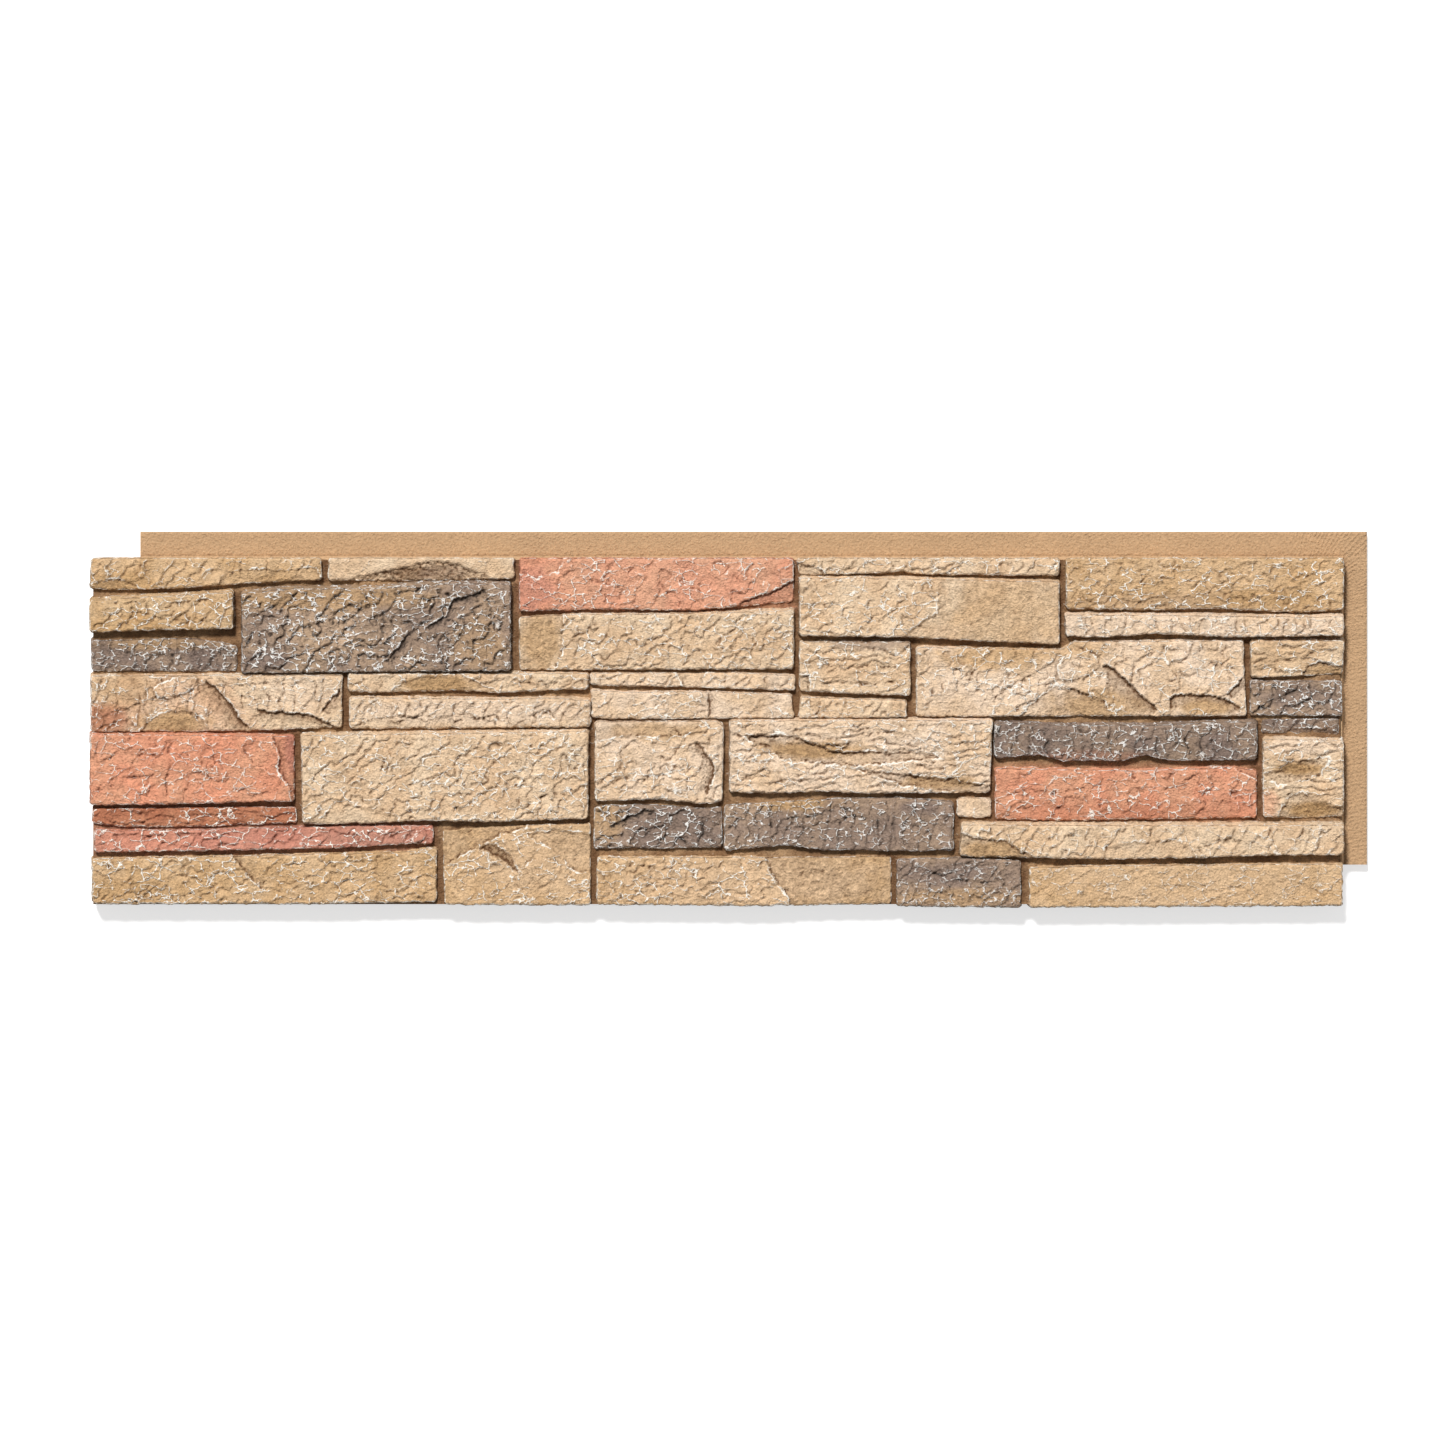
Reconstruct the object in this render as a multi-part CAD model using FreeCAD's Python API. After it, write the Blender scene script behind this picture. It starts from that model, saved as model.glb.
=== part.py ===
"""Faux stone wall panel: one moulded board of rigid foam with a relief of stacked ledge stones.

The panel lies on its flat back with the stones up. X runs along the courses, Y up the wall and Z out of
the wall. The origin is at the middle of the overall box, on the back face. All sizes are millimetres.

A flat plate carries the body. The plate stands past the body along the top and the right, as a lap
flange, and stops short of it along the left and the bottom. There the stones hang over a rebate that
takes the flange of the next panel. Stones are drawn in face coordinates: x from the left end of the
stone face, and y from its bottom edge.
"""

import FreeCAD, Part
import math
import os
from dataclasses import dataclass

from FreeCAD import Vector

# The stone face, as it shows on a finished wall
face_length = 1067.0
face_height = 297.0

# Lap joint with the neighbouring panels
top_flange_width = 23.0
right_flange_width = 21.0
flange_thickness = 9.5
left_rebate_width = 42.0
bottom_rebate_width = 36.0
rebate_clearance = 1.0

# Joints between the stones: the bed is their floor
bed_height = 18.0
bed_inset = 2.5
body_foot_spread = 2.6

# Stone edges: draft of the sides, and the break along the top edges
side_draft = 3.0
edge_break = 1.4

# How far a cutting or joining shape runs past what it cuts or joins
overrun = 5.0


@dataclass(frozen=True)
class Chip:
    """A split in a stone's face: an upturned pyramid over rim, with its point depth below the face."""

    rim: tuple
    deepest: tuple
    depth: float


@dataclass(frozen=True)
class Stone:
    """One stone of the relief. Its lower and upper edges run from left to right.

    stand is the height of the middle of its face above the bed. lean is how much higher its right end
    is than its left one, and its upper edge than its lower one.
    """

    name: str
    lower: tuple
    upper: tuple
    stand: float
    lean: tuple = (0.0, 0.0)
    chips: tuple = ()


STONES = (
    Stone(
        "cap_west",
        lower=((1, 271), (26, 270), (85, 272), (124, 275), (197, 279)),
        upper=((1, 297), (197, 297)),
        stand=9.5,
        lean=(1.0, -1.0),
    ),
    Stone(
        "cap_split",
        lower=((203, 278), (300, 278.5), (361, 280)),
        upper=((203, 297), (361, 297)),
        stand=9.0,
        lean=(1.0, 1.0),
        chips=(
            Chip(
                ((212, 277), (262, 289), (290, 295), (322, 286), (318, 275)),
                (285, 277),
                4.5,
            ),
        ),
    ),
    Stone(
        "ledge_west",
        lower=((0, 234), (60, 236), (122, 237)),
        upper=((0, 261), (60, 264.5), (122, 268)),
        stand=12.5,
        lean=(1.5, -1.0),
    ),
    Stone(
        "slate_block",
        lower=((129.5, 199.5), (358, 201.5)),
        upper=((129.5, 267), (172, 271), (250, 271), (290, 275), (358, 275)),
        stand=11.5,
        lean=(2.0, 1.0),
    ),
    Stone(
        "slate_strip_west",
        lower=((1.5, 201), (125, 201)),
        upper=((1.5, 227), (88, 229), (125, 223)),
        stand=6.0,
        lean=(-1.0, 1.0),
    ),
    Stone(
        "cleft_west",
        lower=((1, 149.5), (110, 150), (160, 151), (214.5, 153.5)),
        upper=((1, 197), (214.5, 197.5)),
        stand=8.5,
        lean=(2.0, 1.0),
        chips=(
            Chip(((84, 199), (102, 199), (131, 160), (96, 148)), (112, 172), 3.5),
            Chip(((216, 195), (196.5, 167), (214, 150)), (213, 168), 4.0),
            Chip(((140, 150), (158, 168), (180, 168), (210, 152)), (172, 151), 4.0),
        ),
    ),
    Stone(
        "strip_middle_upper",
        lower=((220, 183), (315, 184.5), (344, 182.5), (424, 186)),
        upper=((220, 198.5), (424, 199)),
        stand=9.5,
    ),
    Stone(
        "strip_middle_lower",
        lower=((221, 152), (426, 153.5)),
        upper=((221, 178.5), (351, 177), (392, 178), (426, 176)),
        stand=9.0,
        lean=(0.5, 1.0),
    ),
    Stone(
        "red_cap",
        lower=(
            (365.5, 252),
            (400, 252.5),
            (434, 254),
            (513, 252.5),
            (551, 256),
            (599, 260),
        ),
        upper=((365.5, 297), (599, 297)),
        stand=9.5,
        lean=(0.5, -0.5),
        chips=(Chip(((549, 252), (601, 276), (601, 256)), (603, 258), 6.0),),
    ),
    Stone(
        "buff_middle",
        lower=((365.5, 202), (599, 203)),
        upper=((365.5, 247), (403, 249), (480, 249.5), (555, 251), (599, 252.5)),
        stand=9.5,
        lean=(2.0, 0.5),
        chips=(Chip(((360, 199), (403, 199), (403, 254), (360, 254)), (401, 226), 1.6),),
    ),
    Stone(
        "strip_under_buff",
        lower=((426, 189), (490, 188), (555, 186), (600, 184.5)),
        upper=((426, 199), (546, 200), (600, 197)),
        stand=8.5,
        lean=(1.0, -1.0),
    ),
    Stone(
        "flag_middle",
        lower=((427, 162), (440, 160.5), (599, 161)),
        upper=((427, 185), (452, 183), (525, 183.5), (597, 181)),
        stand=8.5,
    ),
    Stone(
        "flag_small",
        lower=((603, 161.5), (695, 161.5)),
        upper=((605, 179), (695, 176)),
        stand=8.5,
        lean=(2.0, 0.0),
    ),
    Stone(
        "cap_middle",
        lower=((603, 283), (678, 284.5), (690, 286), (708, 283.5), (825, 282.5)),
        upper=((602, 297), (825, 297)),
        stand=9.0,
        lean=(1.0, 0.0),
    ),
    Stone(
        "buff_high",
        lower=((604, 231), (697, 230), (758, 226.5), (825, 224)),
        upper=((604, 280), (708, 279), (825, 277)),
        stand=12.5,
        lean=(0.5, -1.5),
        chips=(Chip(((722, 284), (832, 284), (832, 220), (722, 223)), (725, 255), 1.5),),
    ),
    Stone(
        "block_small",
        lower=((604, 184), (698, 180)),
        upper=((604, 226), (698, 225.5)),
        stand=10.0,
        lean=(1.5, -1.0),
        chips=(Chip(((600, 180), (613, 181), (613, 199), (600, 199)), (606, 186), 2.0),),
    ),
    Stone(
        "cleft_great",
        lower=((703.5, 162.5), (984, 163)),
        upper=((703.5, 221), (828, 219.5), (838, 226), (981.5, 227)),
        stand=9.5,
        lean=(0.5, -0.5),
        chips=(
            Chip(((842, 196), (862, 208), (914, 160), (786, 160)), (884, 166), 5.0),
            Chip(((918, 160), (924, 181), (963, 180), (986, 168), (986, 158)), (955, 161), 4.0),
            Chip(((967, 179), (986, 199), (986, 169)), (984, 182), 3.0),
        ),
    ),
    Stone(
        "cap_east",
        lower=((831, 254), (907, 253), (946, 254.5), (986, 253), (1030, 251), (1067, 253.5)),
        upper=((831, 297), (1067, 297)),
        stand=9.5,
        lean=(-0.5, 1.0),
    ),
    Stone(
        "strip_east",
        lower=((830.5, 231), (862, 230), (907, 233), (970, 230), (1067, 231.5)),
        upper=((830.5, 249), (1012, 247), (1067, 247)),
        stand=12.0,
        lean=(0.5, -0.5),
    ),
    Stone(
        "chipped_east",
        lower=((988, 195.5), (1030, 197), (1066, 199)),
        upper=((988, 227), (1067, 227)),
        stand=9.0,
        lean=(-1.0, 0.5),
        chips=(Chip(((1030, 195), (1034, 204), (1053, 208), (1069, 205), (1069, 194)), (1052, 196), 4.0),),
    ),
    Stone(
        "slate_east",
        lower=((987.5, 163.5), (1065.5, 163)),
        upper=((987.5, 193), (1065.5, 192)),
        stand=7.5,
    ),
    Stone(
        "slate_sliver_east",
        lower=((997.5, 148), (1020, 148.5), (1063, 147)),
        upper=((997.5, 160.5), (1063, 161)),
        stand=4.5,
    ),
    Stone(
        "cleft_east",
        lower=((998.5, 77), (1030, 76), (1067, 77.5)),
        upper=((998.5, 143), (1067, 142)),
        stand=9.5,
        lean=(-1.0, 1.0),
        chips=(
            Chip(((1001, 115), (1024, 127), (1056, 127), (1044, 107), (1012, 104)), (1032, 119), 3.5),
            Chip(((1010, 74), (1019, 95), (1032, 98), (1045, 90), (1066, 86), (1066, 74)), (1036, 78), 4.0),
        ),
    ),
    Stone(
        "slate_long",
        lower=(
            (770, 127),
            (808, 130),
            (828, 124.5),
            (880, 125),
            (897, 129.5),
            (918, 125),
            (993, 125.5),
        ),
        upper=((770, 157), (819, 155), (915, 155), (969, 158), (993, 157)),
        stand=10.5,
        lean=(1.0, 0.0),
    ),
    Stone(
        "red_east",
        lower=((770.5, 75), (828, 74), (993, 76.5)),
        upper=((770.5, 118), (837, 117), (889, 116), (974, 119), (993, 117)),
        stand=8.0,
        lean=(0.5, 2.0),
        chips=(Chip(((974, 121), (994, 110), (995, 121)), (994, 118), 3.0),),
    ),
    Stone(
        "shelf_east",
        lower=((740, 43.5), (828, 42), (862, 41), (939, 42), (1004, 44.5), (1067, 44.5)),
        upper=((742, 70), (924, 69.5), (1067, 69.5)),
        stand=12.5,
        lean=(1.0, -0.5),
        chips=(Chip(((736, 66), (760, 58), (785, 51), (812, 40), (736, 38)), (756, 42), 4.5),),
    ),
    Stone(
        "pebble",
        lower=((738, 77), (767, 76.5)),
        upper=((738, 93), (767, 93)),
        stand=7.0,
    ),
    Stone(
        "cleft_middle",
        lower=((544.5, 98), (581, 97), (628, 99), (650, 97), (766, 98)),
        upper=((544.5, 158.5), (768, 159)),
        stand=11.0,
        lean=(1.0, 1.0),
        chips=(
            Chip(((568, 152), (600, 143), (623, 135), (722, 133), (650, 119), (560, 130)), (640, 133), 3.5),
            Chip(((664, 126), (729, 112), (770, 104), (770, 96), (690, 106)), (748, 104), 3.5),
        ),
    ),
    Stone(
        "buff_low",
        lower=((430, 90.5), (482, 92), (520, 88), (538, 90)),
        upper=((430, 158), (533, 158.5), (539.5, 153)),
        stand=9.5,
        lean=(1.0, 0.5),
    ),
    Stone(
        "slate_low_west",
        lower=((429, 50), (538, 51)),
        upper=((429, 86.5), (482, 87.5), (520, 84), (538, 85.5)),
        stand=6.5,
        lean=(0.5, -1.0),
    ),
    Stone(
        "slate_low_east",
        lower=((540, 48.5), (590, 53), (625, 49), (694, 48), (735, 48.5)),
        upper=((540, 87), (640, 93), (690, 93.5), (735, 90)),
        stand=8.0,
        lean=(0.5, -3.0),
    ),
    Stone(
        "buff_broad",
        lower=((181, 71), (247, 72), (284, 74), (355, 73), (424, 76)),
        upper=((180, 146), (424, 149.5)),
        stand=11.5,
        lean=(0.5, 0.5),
    ),
    Stone(
        "red_block",
        lower=((0.5, 87), (113, 88.5), (143, 90.5), (174, 90)),
        upper=((0.5, 147), (113, 146), (174, 145.5)),
        stand=11.0,
        lean=(0.5, -1.0),
        chips=(Chip(((157, 149), (177, 149), (177, 92), (172, 94)), (178, 128), 5.0),),
    ),
    Stone(
        "red_strip_upper",
        lower=((2, 72), (25, 68.5), (96, 69), (176, 72)),
        upper=((2, 84), (110, 85.5), (176, 85)),
        stand=6.5,
    ),
    Stone(
        "red_strip_lower",
        lower=((4, 47), (148, 49), (217, 51), (264, 53.5), (292, 55)),
        upper=((4, 66), (30, 65), (96, 66), (176, 68.5), (292, 70)),
        stand=8.5,
        lean=(-0.5, -2.5),
    ),
    Stone(
        "base_west",
        lower=((2, 3), (200, 3), (295, 5)),
        upper=((2, 41), (120, 43.5), (167, 44.5), (264, 46.5), (295, 50.5)),
        stand=8.0,
        lean=(0.5, 0.5),
    ),
    Stone(
        "base_cleft",
        lower=((302, 2.5), (426, 2)),
        upper=((300, 66), (345, 69.5), (426, 71.5)),
        stand=7.5,
        lean=(0.0, -1.5),
        chips=(
            Chip(((296, 36), (331, 53), (372, 72), (296, 72)), (306, 64), 4.0),
            Chip(((331, 52), (358, 30), (362, 44)), (354, 38), 1.8),
        ),
    ),
    Stone(
        "base_middle",
        lower=((431.5, 2.5), (560, 1.5), (682, 3)),
        upper=((431.5, 42.5), (576, 42.5), (682, 43.5)),
        stand=8.0,
        lean=(0.5, -0.5),
        chips=(Chip(((577, 46), (686, 46), (686, 0), (595, 0)), (588, 22), 1.8),),
    ),
    Stone(
        "slate_base",
        lower=((687, 1), (792, 0)),
        upper=((687, 41), (740, 42), (792, 40)),
        stand=7.0,
        lean=(0.5, -0.5),
    ),
    Stone(
        "base_east",
        lower=((799.5, 0), (900, 0.5), (1066, 1.5)),
        upper=((799.5, 33.5), (871, 35.5), (1066, 37)),
        stand=8.0,
    ),
)

drawn_points = [p for stone in STONES for p in stone.lower + stone.upper]
drawn_length = max(x for x, y in drawn_points)
drawn_height = max(y for x, y in drawn_points)

overall_length = face_length + right_flange_width
overall_height = face_height + top_flange_width


def on_panel(x, y, z=0.0):
    """A point drawn on the stone face, carried to a face of this length and height."""
    across = x * face_length / drawn_length
    up = y * face_height / drawn_height
    return Vector(across - overall_length / 2, up - overall_height / 2, z)


def spread(points, distance):
    """A closed outline, anticlockwise, with each side moved outwards by distance, or inwards if below 0."""
    moved = []
    count = len(points)
    for i, here in enumerate(points):
        before = (here - points[i - 1]).normalize()
        after = (points[(i + 1) % count] - here).normalize()
        out_before = Vector(before.y, -before.x, 0)
        out_after = Vector(after.y, -after.x, 0)
        corner = out_before + out_after
        moved.append(here + corner * (distance / (1 + out_before.dot(out_after))))
    return moved


def flat_face(points):
    """A flat face inside a closed outline."""
    return Part.Face(Part.makePolygon(points + points[:1]))


def frustum(low, high):
    """The solid between two outlines whose sides are parallel in pairs, so that all its faces are flat."""
    count = len(low)
    walls = []
    for i in range(count):
        j = (i + 1) % count
        walls.append(flat_face([low[i], low[j], high[j], high[i]]))
    return Part.Solid(Part.Shell([flat_face(low), flat_face(high)] + walls))


def at_height(points, height):
    """The outline lifted to a height, a number or a function of x and y."""
    lift = height if callable(height) else lambda x, y: height
    return [Vector(p.x, p.y, lift(p.x, p.y)) for p in points]


def face_plane(stone, outline):
    """The height of a stone's face as a function of x and y."""
    left, right = min(p.x for p in outline), max(p.x for p in outline)
    low, high = min(p.y for p in outline), max(p.y for p in outline)
    middle_x, middle_y = (left + right) / 2, (low + high) / 2
    slope_x = stone.lean[0] / (right - left)
    slope_y = stone.lean[1] / (high - low)
    middle = bed_height + stone.stand
    return lambda x, y: middle + slope_x * (x - middle_x) + slope_y * (y - middle_y)


def chip_cutter(chip, height):
    """An upturned pyramid with its point below the face, and its rim on the face, drawn out past it."""
    rim = at_height([on_panel(x, y) for x, y in chip.rim], height)
    point = on_panel(*chip.deepest)
    point.z = height(point.x, point.y) - chip.depth
    growth = 1 + overrun / chip.depth
    mouth = [point + (p - point) * growth for p in rim]
    count = len(mouth)
    walls = [flat_face([point, mouth[i], mouth[(i + 1) % count]]) for i in range(count)]
    return Part.Solid(Part.Shell([flat_face(mouth)] + walls))


def stone_solid(stone):
    """A drafted block up to the stone's leaning face, with a broken edge all round and its chips cut out."""
    outline = [on_panel(x, y) for x, y in stone.lower]
    outline += [on_panel(x, y) for x, y in reversed(stone.upper)]
    height = face_plane(stone, outline)
    root = flange_thickness / 2
    crown = max(height(p.x, p.y) for p in outline) + overrun
    flare = math.tan(math.radians(side_draft))
    middle = bed_height + stone.stand
    block = frustum(
        at_height(spread(outline, (middle - root) * flare), root),
        at_height(spread(outline, (middle - crown) * flare), crown),
    )
    skirt_drop = middle - root + overrun
    skirt = frustum(
        at_height(spread(outline, skirt_drop - edge_break), lambda x, y: height(x, y) - skirt_drop),
        at_height(spread(outline, -edge_break), height),
    )
    solid = block.common(skirt)
    for chip in stone.chips:
        solid = solid.cut(chip_cutter(chip, height))
    return solid


def body_block():
    """The body under the stones, up to the joint bed. Its top and right sides spread to a wider foot."""
    left, bottom = bed_inset, bed_inset
    right, top = face_length - bed_inset, face_height - bed_inset / 2
    foot_right, foot_top = face_length, face_height + body_foot_spread
    base = flange_thickness / 2
    steepness = (bed_height - base) / (bed_height - flange_thickness)
    low_right = right + (foot_right - right) * steepness
    low_top = top + (foot_top - top) * steepness
    corner = Vector(overall_length / 2, overall_height / 2, 0)

    def ring(x, y, z):
        plan = ((left, bottom), (x, bottom), (x, y), (left, y))
        return [Vector(a, b, z) - corner for a, b in plan]

    return frustum(ring(low_right, low_top, base), ring(right, top, bed_height))


def plate():
    """The flat plate at the back, whose top and right margins are the lap flange."""
    return Part.makeBox(
        overall_length - left_rebate_width,
        overall_height - bottom_rebate_width,
        flange_thickness,
        Vector(
            left_rebate_width - overall_length / 2,
            bottom_rebate_width - overall_height / 2,
            0,
        ),
    )


def lap_rebates():
    """The space behind the left and bottom margins, which takes the flanges of the next panels."""
    depth = flange_thickness + rebate_clearance
    corner = Vector(-overall_length / 2 - overrun, -overall_height / 2 - overrun, -overrun)
    left = Part.makeBox(left_rebate_width + overrun, overall_height + 2 * overrun, depth + overrun, corner)
    bottom = Part.makeBox(overall_length + 2 * overrun, bottom_rebate_width + overrun, depth + overrun, corner)
    return left.fuse(bottom)


def wall_panel():
    """The whole moulding as one solid."""
    body = body_block().fuse([stone_solid(stone) for stone in STONES])
    body = body.cut(lap_rebates())
    return plate().fuse(body).removeSplitter()


panel = wall_panel()
os.makedirs("parts", exist_ok=True)
panel.exportStep("parts/wall_panel.step")

box = panel.BoundBox
print("solids", len(panel.Solids), "valid", panel.isValid(), "faces", len(panel.Faces))
print("box", round(box.XLength, 2), round(box.YLength, 2), round(box.ZLength, 2))
print("volume litres", round(panel.Volume / 1e6, 3))
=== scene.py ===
"""Looks of the faux stone wall panel: moulded ledge stones on a plate with lap flanges, painted by hand."""

import logging
import math
from dataclasses import dataclass, field
from enum import Enum

import bpy
import numpy as np
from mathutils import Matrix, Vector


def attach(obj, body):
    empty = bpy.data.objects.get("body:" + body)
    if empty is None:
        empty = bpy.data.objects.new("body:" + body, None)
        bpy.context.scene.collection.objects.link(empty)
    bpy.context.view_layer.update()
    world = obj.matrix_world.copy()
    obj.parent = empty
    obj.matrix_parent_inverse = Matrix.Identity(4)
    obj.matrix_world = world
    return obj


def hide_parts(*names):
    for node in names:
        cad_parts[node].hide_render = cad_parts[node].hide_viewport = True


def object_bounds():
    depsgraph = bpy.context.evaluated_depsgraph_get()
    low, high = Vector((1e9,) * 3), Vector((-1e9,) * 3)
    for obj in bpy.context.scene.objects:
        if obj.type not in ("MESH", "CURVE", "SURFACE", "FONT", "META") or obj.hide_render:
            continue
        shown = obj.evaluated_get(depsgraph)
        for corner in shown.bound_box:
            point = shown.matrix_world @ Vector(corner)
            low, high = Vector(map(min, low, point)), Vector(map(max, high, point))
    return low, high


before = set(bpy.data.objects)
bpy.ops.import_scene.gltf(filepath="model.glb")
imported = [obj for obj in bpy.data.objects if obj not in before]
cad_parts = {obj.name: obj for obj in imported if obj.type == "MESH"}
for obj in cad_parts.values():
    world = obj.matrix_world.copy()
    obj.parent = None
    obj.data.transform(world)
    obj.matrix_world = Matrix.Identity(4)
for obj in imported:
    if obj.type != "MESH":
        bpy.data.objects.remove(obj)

CAD_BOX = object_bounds()

NODE = "wall_panel"
MM = 0.001
CREASE_DEGREES = 75
NOISE_RANGE = (0.3, 0.7)
log = logging.getLogger("wall_panel")

Points = tuple[tuple[float, float], ...]
Rgb = tuple[float, float, float]


def srgb(red: int, green: int, blue: int) -> Rgb:
    """A colour given as it looks on screen, 0 to 255 a channel, as linear light."""
    return tuple(
        c / 12.92 if c <= 0.04045 else ((c + 0.055) / 1.055) ** 2.4
        for c in (red / 255, green / 255, blue / 255)
    )


def ease(low: float, high: float, value: np.ndarray) -> np.ndarray:
    """A smooth step from 0 where value is low to 1 where it is high."""
    t = np.clip((value - low) / (high - low), 0.0, 1.0)
    return t * t * (3 - 2 * t)


def hump(value: np.ndarray, middle: float, width: float) -> np.ndarray:
    """A smooth hump: 1 where value is at the middle, and 0 well away from it."""
    return np.exp(-(((value - middle) / width) ** 2))


def blend(first: np.ndarray, second: np.ndarray, share: np.ndarray) -> np.ndarray:
    """A mix of two values or colours, with this share of the second."""
    return first * (1 - share) + second * share


def round_fall(share: np.ndarray) -> np.ndarray:
    """How far a round edge of radius 1 has fallen, for a share of the way across it."""
    return 1 - np.sqrt(1 - share**2)


class StoneColour(Enum):
    """The base coats of the stones, each with the second coat that clouds it."""

    SAND = (srgb(203, 166, 122), srgb(216, 182, 142))
    BUFF = (srgb(219, 186, 150), srgb(229, 202, 170))
    CREAM = (srgb(234, 208, 181), srgb(225, 194, 160))
    OCHRE = (srgb(192, 154, 108), srgb(212, 180, 140))
    SALMON = (srgb(222, 151, 119), srgb(219, 159, 126))
    ROSE = (srgb(196, 132, 112), srgb(204, 142, 120))
    RUST = (srgb(176, 112, 82), srgb(190, 130, 98))
    SLATE = (srgb(155, 132, 115), srgb(174, 147, 122))
    DARK_SLATE = (srgb(134, 115, 104), srgb(156, 132, 112))
    UMBER = (srgb(140, 106, 76), srgb(150, 116, 84))


SAND, BUFF, CREAM, OCHRE, SALMON, ROSE, RUST, SLATE, DARK_SLATE, UMBER = StoneColour
REDS = (SALMON, ROSE, RUST)
SLATES = (SLATE, DARK_SLATE)


@dataclass(frozen=True)
class Grain:
    """How a stone's face is broken into flakes, in millimetres and degrees.

    The flakes are ridge high and spacing apart, and step down towards turn, all the more with more bias.
    stretch draws them out across that way, and swell is the height of the broad humps under them. cover
    is how far they spread over the face, and crumple how strong the finest wrinkles of the paint are.
    """

    ridge: float = 2.1
    spacing: float = 6.4
    bias: float = 0.5
    turn: float = -50.0
    stretch: float = 1.0
    swell: float = 0.9
    cover: float = 0.3
    crumple: float = 0.9


EVEN = Grain()
CRUMPLED = Grain(ridge=3.0, spacing=7.6, bias=0.4, turn=-42.0, cover=0.35)
VEINED = Grain(ridge=1.8, spacing=9.5, bias=0.2, turn=-20.0, crumple=0.8)
WRINKLED = Grain(ridge=2.0, spacing=6.2, bias=0.4, turn=-30.0, cover=0.2)
FINE = Grain(ridge=1.8, spacing=5.0, bias=0.4, turn=-70.0, swell=0.6, cover=0.25)
UPRIGHT = Grain(ridge=2.0, spacing=6.8, bias=0.6, turn=-8.0, stretch=1.5, crumple=0.8)
SLANTED = Grain(ridge=2.0, spacing=6.8, bias=0.6, turn=-35.0, stretch=1.4, crumple=0.7)
BEDDED = Grain(ridge=2.2, spacing=5.8, bias=0.8, turn=-88.0, stretch=2.2, swell=1.1, cover=0.15)
MILD = Grain(ridge=1.4, spacing=6.0, bias=0.4, turn=-60.0, stretch=1.2, swell=0.6, cover=0.15, crumple=0.8)
FLOWING = Grain(ridge=1.1, spacing=6.5, bias=0.6, turn=-65.0, stretch=2.2, swell=0.4, cover=0.1, crumple=0.65)
CALM = Grain(ridge=0.8, spacing=6.5, bias=0.4, turn=-65.0, stretch=1.4, swell=0.5, cover=0.0, crumple=0.45)


@dataclass(frozen=True)
class Chip:
    """A split in a stone's face inside rim, deepest at a point. One of negative depth stands proud instead.

    floor is the share of it that is flat, step the share of its depth that falls at the rim itself, and
    crag how rough its broken surface is, in millimetres.
    """

    rim: Points
    deepest: tuple[float, float]
    depth: float
    floor: float = 0.0
    step: float = 0.45
    crag: float = 0.3

    outside = 9.0
    slack = 1e-9
    least_slope = 0.01
    rim_width = (-0.5, 0.7)

    def cut(self, x: np.ndarray, y: np.ndarray, pitch: float) -> tuple[np.ndarray, np.ndarray]:
        """How far the chip cuts below the face: a sharp step at its rim, then a slope to its deepest place.

        Args:
            x: places along the face.
            y: places up the face.
            pitch: how far apart neighbouring places are.

        Returns:
            The depth in millimetres, 0 outside the rim, and how far inside the rim each place is.
        """
        px = x - self.deepest[0]
        py = y - self.deepest[1]
        share = np.full(x.shape, self.outside)
        corners = np.array(self.rim) - np.array(self.deepest)
        for a, b in zip(corners, np.roll(corners, -1, axis=0)):
            turn = a[0] * b[1] - a[1] * b[0]
            s = (px * b[1] - py * b[0]) / turn
            t = (a[0] * py - a[1] * px) / turn
            inside = (s >= -self.slack) & (t >= -self.slack)
            share = np.where(inside, np.minimum(share, s + t), share)
        slope = np.hypot(*np.gradient(np.minimum(share, 2.0))) / pitch
        within = (1 - share) / np.maximum(slope, self.least_slope)
        step = self.step * ease(*self.rim_width, within)
        hollow = (1 - self.step) * np.clip((1 - share) / (1 - self.floor), 0, 1)
        return self.depth * (step + hollow), within


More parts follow.
